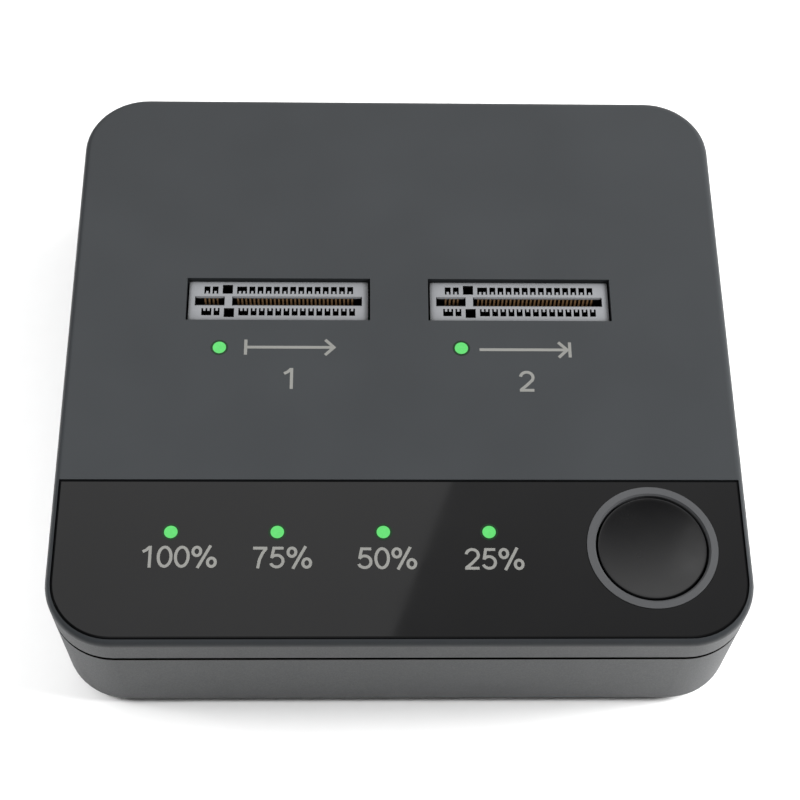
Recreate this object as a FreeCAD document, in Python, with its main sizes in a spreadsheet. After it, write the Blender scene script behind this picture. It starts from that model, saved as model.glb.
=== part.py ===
import FreeCAD, Part
import math
import os
import Sketcher

# Dual-bay cloning dock for M.2 solid state drives. Millimetres, +Z up, +Y to the rear.
# The origin is on the standing plane, under the middle of the casing.

SIZES = {
    # casing
    "body_width": 80.0,
    "body_depth": 75.0,
    "corner_radius": 7.8,
    "wall": 2.0,
    "foot_stand": 1.0,
    "floor_thickness": 2.0,
    "board_rise": 3.4,
    "port_to_seam": 0.5,
    "top_thickness": 2.2,
    "top_edge_radius": 0.9,
    "bottom_edge_chamfer": 0.8,
    "seam_groove_height": 0.3,
    "seam_groove_depth": 0.45,
    "lip_height": 1.0,
    "lip_thickness": 0.9,
    "lip_clearance": 0.1,
    "lip_to_corner": 2.0,
    # glossy front panel and the glue under it
    "panel_border": 0.75,
    "panel_rear_from_front": 20.03,
    "panel_thickness": 1.0,
    "panel_clearance": 0.12,
    "panel_chamfer": 0.2,
    "glue_thickness": 0.2,
    "glue_inset": 0.3,
    "glue_hole_clearance": 0.1,
    # clone button and its ring
    "button_from_right": 11.33,
    "button_from_panel_rear": 8.38,
    "ring_radius": 7.5,
    "ring_bore_radius": 6.5,
    "ring_proud": 0.1,
    "ring_chamfer": 0.2,
    "ring_fit": 0.05,
    "button_radius": 6.05,
    "button_recess": 0.15,
    "button_edge": 0.35,
    "button_dish_depth": 0.45,
    "button_dish_flat": 2.0,
    "button_rim": 0.35,
    "button_ear_reach": 7.4,
    "button_ear_width": 3.0,
    "button_ear_thickness": 0.8,
    "button_ear_gap": 0.15,
    "button_post_width": 3.0,
    # tact switch under the clone button
    "tact_width": 6.0,
    "tact_body_height": 3.2,
    "tact_cover_thickness": 0.3,
    "tact_height": 7.0,
    "tact_stem_radius": 1.75,
    "tact_stem_clearance": 0.3,
    "tact_stem_depth": 1.5,
    "tact_stem_room": 0.6,
    "tact_leg_width": 0.7,
    "tact_leg_reach": 1.4,
    "tact_leg_thickness": 0.3,
    "tact_leg_height": 1.6,
    "tact_leg_spread": 2.25,
    # lamps, light guides and the baffle
    "lamp_from_left": 13.84,
    "lamp_to_button": 18.62,
    "lamp_from_panel_rear": 6.51,
    "lamp_length": 1.6,
    "lamp_depth": 0.8,
    "lamp_height": 0.6,
    "lamp_gap": 0.3,
    "progress_pin_radius": 0.82,
    "slot_pin_radius": 0.85,
    "pin_clearance": 0.08,
    "guide_rail_thickness": 1.2,
    "guide_rail_depth": 2.4,
    "guide_rail_overhang": 1.5,
    "guide_leg_width": 1.6,
    "slot_flange_width": 3.2,
    "slot_flange_thickness": 0.8,
    "slot_lamp_from_slot": 6.91,
    "slot_lamp_spacing": 29.12,
    "slot_lamp_to_socket": 6.85,
    "baffle_height": 4.0,
    "baffle_depth": 4.0,
    "baffle_cell_width": 2.8,
    # circuit board and screws
    "board_thickness": 1.6,
    "board_margin": 0.8,
    "board_corner_radius": 4.0,
    "screw_from_wall": 4.2,
    "screw_radius": 1.1,
    "screw_length": 11.0,
    "screw_head_radius": 2.0,
    "screw_head_height": 1.3,
    "screw_head_clearance": 0.3,
    "screw_clearance": 0.2,
    "screw_thread_fit": 0.02,
    "screw_cross_length": 2.4,
    "screw_cross_width": 0.5,
    "screw_cross_depth": 0.8,
    "screw_hole_extra": 1.0,
    "bottom_post_width": 6.0,
    "top_post_width": 5.2,
    "support_length": 14.0,
    "support_depth": 1.4,
    # rubber feet
    "foot_radius": 4.5,
    "foot_inset": 8.5,
    # M.2 sockets
    "slot_spread": 14.75,
    "slot_from_rear": 30.45,
    "socket_end_wall": 0.75,
    "socket_depth": 5.45,
    "socket_height": 11.5,
    "socket_drop": 0.5,
    "socket_window_clearance": 0.25,
    "socket_foot_height": 0.3,
    "socket_foot_length": 0.75,
    "key_width": 0.9,
    "slot_end_room": 0.95,
    "slot_width": 1.0,
    "slot_depth": 6.5,
    "slot_lead_in": 0.175,
    "contact_pitch": 0.5,
    "contact_width": 0.2,
    "contact_thickness": 0.12,
    "contact_tip_drop": 0.9,
    "window_inner": 1.03,
    "window_outer": 2.06,
    "window_side": 0.11,
    "window_depth": 2.0,
    "window_rib_width": 0.28,
    "window_rib_length": 0.38,
    "core_width": 1.25,
    "core_outer": 2.3,
    "anchor_thickness": 0.25,
    "anchor_depth": 2.6,
    "anchor_height": 2.5,
    "anchor_reach": 1.3,
    # USB-C socket
    "usb_width": 8.94,
    "usb_height": 3.2,
    "usb_length": 7.3,
    "usb_corner_radius": 1.4,
    "usb_metal": 0.3,
    "usb_face_recess": 0.3,
    "usb_wall_clearance": 0.2,
    "usb_back_length": 2.0,
    "usb_tongue_width": 6.7,
    "usb_tongue_height": 0.7,
    "usb_tongue_recess": 0.8,
    "usb_contact_pitch": 0.5,
    "usb_contact_width": 0.25,
    "usb_contact_thickness": 0.06,
    # barrel power jack
    "jack_from_right": 12.0,
    "jack_width": 9.0,
    "jack_height": 7.0,
    "jack_sink": 2.0,
    "jack_length": 13.0,
    "jack_nose_radius": 3.6,
    "jack_nose_length": 1.9,
    "jack_face_recess": 0.3,
    "jack_wall_clearance": 0.2,
    "jack_bore_radius": 3.15,
    "jack_bore_depth": 9.5,
    "jack_pin_radius": 1.0,
    "jack_root_radius": 1.4,
    "jack_pin_recess": 0.9,
    "jack_tail_length": 0.8,
    "jack_board_gap": 0.2,
    "jack_ear_reach": 1.4,
    "jack_ear_thickness": 0.8,
    "jack_ear_length": 6.0,
    "jack_spring_width": 2.0,
    "jack_spring_thickness": 0.3,
    "jack_spring_length": 7.0,
    "jack_spring_proud": 0.2,
    "jack_tab_width": 2.2,
    "jack_tab_height": 3.0,
    "jack_tab_spread": 2.6,
    # rear power switch
    "switch_from_left": 12.0,
    "switch_width": 7.0,
    "switch_body_depth": 7.5,
    "switch_height": 7.0,
    "switch_to_wall": 4.0,
    "switch_metal": 0.3,
    "switch_frame_setback": 0.8,
    "plunger_width": 1.8,
    "plunger_clearance": 0.3,
    "plunger_length": 6.5,
    "switch_travel_room": 2.0,
    "cap_radius": 2.5,
    "cap_hole_clearance": 0.3,
    "cap_flush": 0.3,
    "cap_flange_width": 7.0,
    "cap_flange_height": 3.0,
    "cap_flange_thickness": 0.6,
    "cap_flange_gap": 0.3,
    "cap_edge": 0.3,
    "scoop": 0.5,
    # parts on the board
    "chip_row_from_socket": 16.0,
    "controller_width": 9.0,
    "controller_height": 0.9,
    "bridge_width": 7.0,
    "bridge_height": 0.85,
    "memory_from_bridge": 12.0,
    "memory_width": 4.0,
    "memory_depth": 5.0,
    "memory_height": 1.6,
    "memory_leg_width": 0.4,
    "memory_leg_reach": 1.0,
    "memory_leg_pitch": 1.27,
    "memory_leg_thickness": 0.25,
    "crystal_from_middle": 8.0,
    "crystal_setback": 3.5,
    "crystal_width": 3.2,
    "crystal_depth": 2.5,
    "crystal_height": 0.8,
    "power_row_from_socket": 10.5,
    "coil_width": 5.0,
    "coil_height": 3.0,
    "power_row_first": 3.0,
    "power_pitch": 7.5,
    "coil_corner": 0.8,
    "capacitor_radius": 3.15,
    "capacitor_height": 5.4,
    "capacitor_base_width": 6.6,
    "capacitor_base_height": 1.0,
    "transistor_width": 5.0,
    "transistor_depth": 6.0,
    "transistor_height": 1.0,
    "ceramic_length": 1.6,
    "ceramic_depth": 0.8,
    "ceramic_height": 0.8,
    "ceramic_pitch": 3.0,
    "ceramic_from_socket": 4.6,
}

# How many of each. An M.2 edge has 75 contact places, and the key takes four of each row.
LONG_GROUP_COUNT = 29
KEYED_OUT_COUNT = 4
REAR_SHORT_COUNT = 4
FRONT_SHORT_COUNT = 5
PAIR_COUNT = 2
TRIPLE_COUNT = 3
PAIR_WINDOW_COUNT = 13
USB_CONTACT_COUNT = 12
LAMP_COUNT = 4
CERAMIC_COUNT = 6
MEMORY_LEG_COUNT = 4
POWER_PART_COUNT = 2
TOLERANCE = 1e-6

doc = FreeCAD.newDocument("clone_dock")
sheet = doc.addObject("Spreadsheet::Sheet", "Sizes")
for row, (alias, number) in enumerate(SIZES.items(), 1):
    sheet.set("A%d" % row, alias)
    sheet.set("B%d" % row, str(number))
    sheet.setAlias("B%d" % row, alias)
doc.recompute()


class Size:
    """A length built from driving dimensions: its formula for the sheet and its value now."""

    def __init__(self, formula, value):
        self.formula = formula
        self.value = value

    def joined(self, other, sign, value):
        return Size("(%s %s %s)" % (self.formula, sign, as_size(other).formula), value)

    def __add__(self, other):
        return self.joined(other, "+", self.value + as_size(other).value)

    def __sub__(self, other):
        return self.joined(other, "-", self.value - as_size(other).value)

    def __mul__(self, other):
        return self.joined(other, "*", self.value * as_size(other).value)

    def __truediv__(self, other):
        return self.joined(other, "/", self.value / as_size(other).value)

    def __neg__(self):
        return Size("(-%s)" % self.formula, -self.value)


def as_size(number):
    if isinstance(number, Size):
        return number
    return Size("(%r)" % float(number), float(number))


class SheetSizes:
    """The driving dimensions by name."""

    def __getattr__(self, alias):
        return Size("Sizes." + alias, float(sheet.get(alias)))


s = SheetSizes()
ZERO = as_size(0.0)


# ---------------------------------------------------------------- making and binding objects

def bind(item, path, size):
    item.setExpression(path, size.formula)


def place(item, x=ZERO, y=ZERO, z=ZERO):
    for axis, size in (("x", x), ("y", y), ("z", z)):
        bind(item, "Placement.Base." + axis, size)


def new_body(label):
    body = doc.addObject("PartDesign::Body", label)
    body.Label = label
    return body


def origin_feature(body, role):
    return [item for item in body.Origin.OriginFeatures if item.Role == role][0]


def new_sketch(body, name, plane, offset=ZERO):
    """A sketch on one of the body's origin planes, moved along that plane's normal."""
    sketch = body.newObject("Sketcher::SketchObject", name)
    sketch.AttachmentSupport = [(origin_feature(body, plane), "")]
    sketch.MapMode = "FlatFace"
    sketch.AttachmentOffset = FreeCAD.Placement(
        FreeCAD.Vector(0, 0, offset.value), FreeCAD.Rotation())
    bind(sketch, "AttachmentOffset.Base.z", offset)
    return sketch


def fix_point(sketch, geometry, end, x, y):
    for kind, size in (("DistanceX", x), ("DistanceY", y)):
        number = sketch.addConstraint(
            Sketcher.Constraint(kind, -1, 1, geometry, end, size.value))
        bind(sketch, "Constraints[%d]" % number, size)


def draw_polygon(sketch, points):
    """A closed outline of straight lines through the points."""
    corners = [(as_size(x), as_size(y)) for x, y in points]
    lines = []
    for (x0, y0), (x1, y1) in zip(corners, corners[1:] + corners[:1]):
        start = FreeCAD.Vector(x0.value, y0.value, 0)
        end = FreeCAD.Vector(x1.value, y1.value, 0)
        lines.append(sketch.addGeometry(Part.LineSegment(start, end), False))
    for line, follower in zip(lines, lines[1:] + lines[:1]):
        sketch.addConstraint(Sketcher.Constraint("Coincident", line, 2, follower, 1))
    for line, (x, y) in zip(lines, corners):
        fix_point(sketch, line, 1, x, y)


def draw_rectangle(sketch, left, right, front, back):
    draw_polygon(sketch, [(left, front), (right, front), (right, back), (left, back)])


def draw_circle(sketch, x, y, radius):
    centre = FreeCAD.Vector(x.value, y.value, 0)
    circle = sketch.addGeometry(
        Part.Circle(centre, FreeCAD.Vector(0, 0, 1), radius.value), False)
    fix_point(sketch, circle, 3, x, y)
    number = sketch.addConstraint(Sketcher.Constraint("Radius", circle, radius.value))
    bind(sketch, "Constraints[%d]" % number, radius)


def draw_rounded(sketch, left, right, front, back, front_radius, back_radius=None):
    """A rectangle with rounded front corners, and rounded or square back corners."""
    corners = [
        (left, front, front_radius, (0, -1), (1, 0)),
        (right, front, front_radius, (1, 0), (0, 1)),
        (right, back, back_radius, (0, 1), (-1, 0)),
        (left, back, back_radius, (-1, 0), (0, -1)),
    ]
    quarter = math.pi / 2
    arrive = []
    leave = []
    arcs = []
    for turn, (x, y, radius, way_in, way_out) in enumerate(corners):
        if radius is None:
            arrive.append((x, y))
            leave.append((x, y))
            arcs.append(None)
            continue
        arrive.append((x - radius * way_in[0], y - radius * way_in[1]))
        leave.append((x + radius * way_out[0], y + radius * way_out[1]))
        centre = FreeCAD.Vector(
            x.value + radius.value * (way_out[0] - way_in[0]),
            y.value + radius.value * (way_out[1] - way_in[1]), 0)
        circle = Part.Circle(centre, FreeCAD.Vector(0, 0, 1), radius.value)
        arc = Part.ArcOfCircle(circle, quarter * (turn + 2), quarter * (turn + 3))
        arcs.append(sketch.addGeometry(arc, False))
    lines = []
    for turn in range(len(corners)):
        x0, y0 = leave[turn]
        x1, y1 = arrive[(turn + 1) % len(corners)]
        line = Part.LineSegment(
            FreeCAD.Vector(x0.value, y0.value, 0), FreeCAD.Vector(x1.value, y1.value, 0))
        lines.append(sketch.addGeometry(line, False))
        fix_point(sketch, lines[-1], 1, x0, y0)
    for turn, arc in enumerate(arcs):
        before = lines[turn - 1]
        after = lines[turn]
        if arc is None:
            sketch.addConstraint(Sketcher.Constraint("Coincident", before, 2, after, 1))
            continue
        fix_point(sketch, before, 2, *arrive[turn])
        sketch.addConstraint(Sketcher.Constraint("Coincident", before, 2, arc, 1))
        sketch.addConstraint(Sketcher.Constraint("Coincident", arc, 2, after, 1))
        number = sketch.addConstraint(
            Sketcher.Constraint("Radius", arc, corners[turn][2].value))
        bind(sketch, "Constraints[%d]" % number, corners[turn][2])


def extrude(body, kind, name, sketch, length, reverse, symmetric):
    feature = body.newObject(kind, name)
    feature.Profile = sketch
    feature.Reversed = reverse
    if symmetric:
        feature.SideType = "Symmetric"
    if length is None:
        feature.Type = "ThroughAll"
    else:
        bind(feature, "Length", length)
    return feature


def pad(body, name, sketch, length, reverse=False, symmetric=False):
    feature = extrude(body, "PartDesign::Pad", name, sketch, length, reverse, symmetric)
    doc.recompute()
    return feature


def pocket(body, name, sketch, length=None, reverse=False, symmetric=False):
    """A cut against the sketch's normal, or along it when reversed. It has to remove something."""
    before = body.Shape.Volume
    feature = extrude(body, "PartDesign::Pocket", name, sketch, length, reverse, symmetric)
    doc.recompute()
    if not feature.Shape.Volume < before - TOLERANCE:
        raise ValueError("%s of %s cuts nothing" % (name, body.Label))
    return feature


def revolve(body, name, sketch, kind="PartDesign::Revolution"):
    feature = body.newObject(kind, name)
    feature.Profile = sketch
    feature.ReferenceAxis = (sketch, ["V_Axis"])
    feature.Angle = 360
    doc.recompute()
    return feature


def round_edges(body, name, wanted, radius, kind="PartDesign::Fillet", path="Radius"):
    base = body.Tip
    edges = ["Edge%d" % number for number, edge in enumerate(base.Shape.Edges, 1)
             if wanted(edge)]
    feature = body.newObject(kind, name)
    feature.Base = (base, edges)
    bind(feature, path, radius)
    doc.recompute()
    return feature


def bevel_edges(body, name, wanted, size):
    return round_edges(body, name, wanted, size, "PartDesign::Chamfer", "Size")


def repeat(body, name, originals, spacing, count, axis="X_Axis", reverse=True):
    """A row of copies along one axis."""
    feature = body.newObject("PartDesign::LinearPattern", name)
    feature.Originals = originals
    feature.Direction = (origin_feature(body, axis), [""])
    feature.Reversed = reverse
    feature.Mode = "Spacing"
    bind(feature, "Offset", spacing)
    feature.Occurrences = count
    body.Tip = feature
    doc.recompute()
    return feature


def mirror(body, name, originals, plane):
    feature = body.newObject("PartDesign::Mirrored", name)
    feature.Originals = originals
    feature.MirrorPlane = (origin_feature(body, plane), [""])
    body.Tip = feature
    doc.recompute()
    return feature


def at_height(height):
    """Picks edges that lie flat at one height."""
    def wanted(edge):
        box = edge.BoundBox
        return max(abs(box.ZMin - height.value), abs(box.ZMax - height.value)) < TOLERANCE
    return wanted


def box(name, left, right, front, back, low, high):
    item = doc.addObject("Part::Box", name)
    item.Label = name
    bind(item, "Length", right - left)
    bind(item, "Width", back - front)
    bind(item, "Height", high - low)
    place(item, left, front, low)
    return item


def centred_box(name, x, y, width, depth, low, height):
    return box(name, x - width / 2, x + width / 2, y - depth / 2, y + depth / 2,
               low, low + height)


def cylinder(name, x, y, z, radius, length, along_y=False):
    """An upright cylinder from z, or one that runs from y to the rear."""
    item = doc.addObject("Part::Cylinder", name)
    item.Label = name
    bind(item, "Radius", radius)
    bind(item, "Height", length)
    if along_y:
        turn = FreeCAD.Rotation(FreeCAD.Vector(1, 0, 0), -90)
        item.Placement = FreeCAD.Placement(FreeCAD.Vector(), turn)
    place(item, x, y, z)
    return item


def joined(name, items):
    item = doc.addObject("Part::MultiFuse", name)
    item.Label = name
    item.Shapes = items
    return item


def cut(name, base, tools):
    item = doc.addObject("Part::Cut", name)
    item.Label = name
    item.Base = base
    item.Tool = tools[0] if len(tools) == 1 else joined(name + "_tools", tools)
    return item


def group(name, items):
    item = doc.addObject("Part::Compound", name)
    item.Label = name
    item.Links = items
    return item


# ---------------------------------------------------------------- heights and places they share

half_width = s.body_width / 2
half_depth = s.body_depth / 2
inner_width = half_width - s.wall
inner_depth = half_depth - s.wall

floor_top = s.foot_stand + s.floor_thickness
board_under = floor_top + s.board_rise
board_top = board_under + s.board_thickness
lamp_top = board_top + s.lamp_height
switch_z = board_top + s.switch_height / 2
usb_z = board_top + s.usb_height / 2
jack_z = board_top - s.jack_sink + s.jack_height / 2
cap_hole_radius = s.cap_radius + s.cap_hole_clearance
seam = switch_z + cap_hole_radius + s.scoop + s.port_to_seam
top = board_top + s.socket_height + s.socket_drop
plate_under = top - s.top_thickness
panel_under = top - s.panel_thickness
recess_floor = panel_under - s.glue_thickness

panel_side = half_width - s.panel_border
panel_front = s.panel_border - half_depth
panel_back = s.panel_rear_from_front - half_depth
panel_radius = s.corner_radius - s.panel_border

button_x = half_width - s.button_from_right
button_y = panel_back - s.button_from_panel_rear
lamp_y = panel_back - s.lamp_from_panel_rear
lamp_first_x = s.lamp_from_left - half_width
lamp_last_x = button_x - s.lamp_to_button
lamp_pitch = (lamp_last_x - lamp_first_x) / (LAMP_COUNT - 1)
slot_y = half_depth - s.slot_from_rear
slot_lamp_y = slot_y - s.slot_lamp_to_socket
slot_lamp_x = -(s.slot_spread + s.slot_lamp_from_slot)
jack_x = half_width - s.jack_from_right
jack_face = half_depth - s.jack_face_recess
jack_rear = jack_face - s.jack_length
switch_x = s.switch_from_left - half_width

lip_side_half = half_depth - s.corner_radius - s.lip_to_corner
lip_end_half = half_width - s.corner_radius - s.lip_to_corner
screw_x = inner_width - s.screw_from_wall
screw_places = [(-screw_x, ZERO), (screw_x, ZERO)]

def place_of(row_end, number):
    """The middle of a contact place, counted from the right end of its row."""
    return row_end - s.contact_pitch * number


places_to_short_group = LONG_GROUP_COUNT + KEYED_OUT_COUNT
last_place = places_to_short_group + FRONT_SHORT_COUNT - 1
key_place = (LONG_GROUP_COUNT + places_to_short_group - 1) / 2
front_row_end = s.contact_pitch * last_place / 2
rear_row_end = front_row_end - s.contact_pitch / 2
key_middle = (place_of(front_row_end, key_place) + place_of(rear_row_end, key_place)) / 2
slot_half = front_row_end + s.slot_end_room
socket_half = slot_half + s.socket_end_wall

lamp_places = [(lamp_first_x + lamp_pitch * number, lamp_y) for number in range(LAMP_COUNT)]
slot_lamp_places = [
    (slot_lamp_x, slot_lamp_y),
    (slot_lamp_x + s.slot_lamp_spacing, slot_lamp_y),
]
foot_places = [
    ((half_width - s.foot_inset) * side, (half_depth - s.foot_inset) * end)
    for side in (-1, 1) for end in (-1, 1)
]
sockets = [("source", -s.slot_spread), ("target", s.slot_spread)]


def draw_casing(sketch, inset):
    """The casing's outline, moved in by the inset."""
    radius = s.corner_radius - inset
    draw_rounded(sketch, inset - half_width, half_width - inset,
                 inset - half_depth, half_depth - inset, radius, radius)


def draw_circles(sketch, places, radius):
    for x, y in places:
        draw_circle(sketch, x, y, radius)


def draw_squares(sketch, places, width):
    for x, y in places:
        draw_rectangle(sketch, x - width / 2, x + width / 2, y - width / 2, y + width / 2)


def draw_cross(sketch, arm, half):
    """A plus sign about the origin: the arms' reach and half their width."""
    draw_polygon(sketch, [
        (-arm, -half), (-half, -half), (-half, -arm), (half, -arm), (half, -half),
        (arm, -half), (arm, half), (half, half), (half, arm), (-half, arm),
        (-half, half), (-arm, half),
    ])


def draw_lip(sketch, clearance):
    """Four straight stretches along the inside of the wall, with room round them."""
    inside = -clearance
    outside = s.lip_thickness + clearance
    side = lip_side_half + clearance
    end = lip_end_half + clearance
    for way in (-1, 1):
        draw_rectangle(sketch, (inner_width + inside) * way, (inner_width + outside) * way,
                       -side, side)
        draw_rectangle(sketch, -end, end,
                       (inner_depth + inside) * way, (inner_depth + outside) * way)


def draw_lamp_window(sketch, clearance):
    """One long opening round all the progress lamps' pins."""
    room = s.progress_pin_radius + clearance
    draw_rectangle(sketch, lamp_first_x - room, lamp_last_x + room,
                   lamp_y - room, lamp_y + room)


# ---------------------------------------------------------------- casing

def make_top_shell():
    """A thin lid with a rounded rim. A shallow recess takes the front panel."""
    body = new_body("top_shell")
    outline = new_sketch(body, "TopOutline", "XY_Plane", seam)
    draw_casing(outline, ZERO)
    pad(body, "TopBlock", outline, top - seam)
    round_edges(body, "TopRim", at_height(top), s.top_edge_radius)

    hollow = new_sketch(body, "TopHollow", "XY_Plane", seam)
    draw_casing(hollow, s.wall)
    pocket(body, "TopCavity", hollow, plate_under - seam, reverse=True)
    rebate = new_sketch(body, "LipRebateOutlines", "XY_Plane", seam)
    draw_lip(rebate, s.lip_clearance)
    pocket(body, "LipRebate", rebate, s.lip_height + s.lip_clearance, reverse=True)
    groove = new_sketch(body, "SeamGrooveOutline", "XY_Plane", seam)
    draw_casing(groove, -s.seam_groove_depth)
    draw_casing(groove, s.seam_groove_depth)
    pocket(body, "SeamGroove", groove, s.seam_groove_height, reverse=True)

    posts = new_sketch(body, "TopPostOutlines", "XY_Plane", plate_under)
    draw_squares(posts, screw_places, s.top_post_width)
    pad(body, "TopPosts", posts, plate_under - board_top, reverse=True)
    pilots = new_sketch(body, "PilotCircles", "XY_Plane", board_top)
    draw_circles(pilots, screw_places, s.screw_radius + s.screw_thread_fit)
    pilot_depth = s.screw_length - (board_top - floor_top) + s.screw_hole_extra
    pocket(body, "PilotHoles", pilots, pilot_depth, reverse=True)

    recess = new_sketch(body, "PanelRecessOutline", "XY_Plane", top)
    draw_rounded(recess, -(panel_side + s.panel_clearance), panel_side + s.panel_clearance,
                 panel_front - s.panel_clearance, panel_back + s.panel_clearance,
                 panel_radius + s.panel_clearance)
    pocket(body, "PanelRecess", recess, top - recess_floor)
    openings = new_sketch(body, "TopOpenings", "XY_Plane", top)
    draw_circle(openings, button_x, button_y, s.ring_bore_radius)
    draw_lamp_window(openings, s.pin_clearance)
    draw_circles(openings, slot_lamp_places, s.slot_pin_radius + s.pin_clearance)
    window_x = socket_half + s.socket_window_clearance
    window_y = s.socket_depth / 2 + s.socket_window_clearance
    for _, x in sockets:
        draw_rectangle(openings, x - window_x, x + window_x,
                       slot_y - window_y, slot_y + window_y)
    pocket(body, "TopOpeningCuts", openings, s.top_thickness)
    return body


def make_bottom_shell():
    """The deep tray: a lip on each wall, two screw posts and two ribs under the sockets."""
    body = new_body("bottom_shell")
    outline = new_sketch(body, "TrayOutline", "XY_Plane", s.foot_stand)
    draw_casing(outline, ZERO)
    pad(body, "TrayBlock", outline, seam - s.foot_stand)
    bevel_edges(body, "TrayEdge", at_height(s.foot_stand), s.bottom_edge_chamfer)
    hollow = new_sketch(body, "TrayHollow", "XY_Plane", seam)
    draw_casing(hollow, s.wall)
    pocket(body, "TrayCavity", hollow, seam - floor_top)
    lip = new_sketch(body, "LipOutlines", "XY_Plane", seam)
    draw_lip(lip, ZERO)
    pad(body, "Lip", lip, s.lip_height)

    posts = new_sketch(body, "TrayPostOutlines", "XY_Plane", floor_top)
    draw_squares(posts, screw_places, s.bottom_post_width)
    pad(body, "TrayPosts", posts, board_under - floor_top)
    ribs = new_sketch(body, "RibOutlines", "XY_Plane", floor_top)
    for _, x in sockets:
        draw_rectangle(ribs, x - s.support_length / 2, x + s.support_length / 2,
                       slot_y - s.support_depth / 2, slot_y + s.support_depth / 2)
    pad(body, "SocketRibs", ribs, board_under - floor_top)

    heads = new_sketch(body, "HeadCircles", "XY_Plane", s.foot_stand)
    draw_circles(heads, screw_places, s.screw_head_radius + s.screw_head_clearance)
    pocket(body, "HeadPockets", heads, s.floor_thickness, reverse=True)
    shanks = new_sketch(body, "ShankCircles", "XY_Plane", floor_top)
    draw_circles(shanks, screw_places, s.screw_radius + s.screw_clearance)
    pocket(body, "ShankHoles", shanks, reverse=True)

    ports = new_sketch(body, "PortOutlines", "XZ_Plane", -inner_depth)
    draw_circle(ports, jack_x, jack_z, s.jack_nose_radius + s.jack_wall_clearance)
    draw_circle(ports, switch_x, switch_z, cap_hole_radius)
    usb_side = s.usb_width / 2 + s.usb_wall_clearance
    usb_rise = s.usb_height / 2 + s.usb_wall_clearance
    usb_radius = s.usb_corner_radius + s.usb_wall_clearance
    draw_rounded(ports, -usb_side, usb_side, usb_z - usb_rise, usb_z + usb_rise,
                 usb_radius, usb_radius)
    pocket(body, "RearPorts", ports)

    def scoop_edge(edge):
        level = edge.BoundBox.YMin - half_depth.value
        radius = getattr(edge.Curve, "Radius", 0.0)
        return abs(level) < TOLERANCE and abs(radius - cap_hole_radius.value) < TOLERANCE
    bevel_edges(body, "FingerScoop", scoop_edge, s.scoop)
    return body


def make_front_panel():
    """Glossy sheet over the front of the lid, pierced for the button and four lamps."""
    body = new_body("front_panel")
    outline = new_sketch(body, "PanelOutline", "XY_Plane", panel_under)
    draw_rounded(outline, -panel_side, panel_side, panel_front, panel_back, panel_radius)
    pad(body, "PanelSheet", outline, s.panel_thickness)
    bevel_edges(body, "PanelEdge", at_height(top), s.panel_chamfer)
    holes = new_sketch(body, "PanelHoles", "XY_Plane", top)
    draw_circle(holes, button_x, button_y, s.ring_radius + s.ring_fit)
    draw_circles(holes, lamp_places, s.progress_pin_radius + s.pin_clearance)
    pocket(body, "PanelPiercing", holes, s.panel_thickness)
    return body


def make_panel_glue():
    """Die-cut double-sided sheet that holds the panel and the button's ring to the lid."""
    body = new_body("panel_adhesive")
    outline = new_sketch(body, "GlueOutline", "XY_Plane", recess_floor)
    draw_rounded(outline, s.glue_inset - panel_side, panel_side - s.glue_inset,
                 panel_front + s.glue_inset, panel_back - s.glue_inset,
                 panel_radius - s.glue_inset)
    draw_circle(outline, button_x, button_y, s.ring_bore_radius + s.glue_hole_clearance)
    draw_lamp_window(outline, s.glue_hole_clearance)
    pad(body, "GlueSheet", outline, s.glue_thickness)
    return body


def make_feet():
    """Four rubber discs stuck under the tray."""
    return group("rubber_feet", [
        cylinder("rubber_foot_%d" % number, x, y, ZERO, s.foot_radius, s.foot_stand)
        for number, (x, y) in enumerate(foot_places, 1)
    ])


def make_screws():
    """Cross-head screws up through the tray and the board into the lid's posts."""
    screws = []
    head_low = floor_top - s.screw_head_height
    for number, (x, y) in enumerate(screw_places, 1):
        body = new_body("housing_screw_%d" % number)
        profile = new_sketch(body, "ScrewProfile%d" % number, "XZ_Plane")
        draw_polygon(profile, [
            (ZERO, head_low),
            (s.screw_head_radius, head_low),
            (s.screw_head_radius, floor_top),
            (s.screw_radius, floor_top),
            (s.screw_radius, floor_top + s.screw_length),
            (ZERO, floor_top + s.screw_length),
        ])
        revolve(body, "ScrewTurn%d" % number, profile)
        cross = new_sketch(body, "CrossRecess%d" % number, "XY_Plane", head_low)
        draw_cross(cross, s.screw_cross_length / 2, s.screw_cross_width / 2)
        pocket(body, "Cross%d" % number, cross, s.screw_cross_depth, reverse=True)
        place(body, x, y)
        screws.append(body)
    return group("housing_screws", screws)


# ---------------------------------------------------------------- clone button

def make_button_ring():
    """Turned trim ring, stuck down beside the panel and a little proud of it."""
    body = new_body("button_ring")
    ring_top = top + s.ring_proud
    profile = new_sketch(body, "RingProfile", "XZ_Plane")
    draw_polygon(profile, [
        (s.ring_bore_radius, panel_under),
        (s.ring_radius, panel_under),
        (s.ring_radius, ring_top),
        (s.ring_bore_radius + s.ring_chamfer, ring_top),
        (s.ring_bore_radius, ring_top - s.ring_chamfer),
    ])
    revolve(body, "RingTurn", profile)
    place(body, button_x, button_y)
    return body


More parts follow.
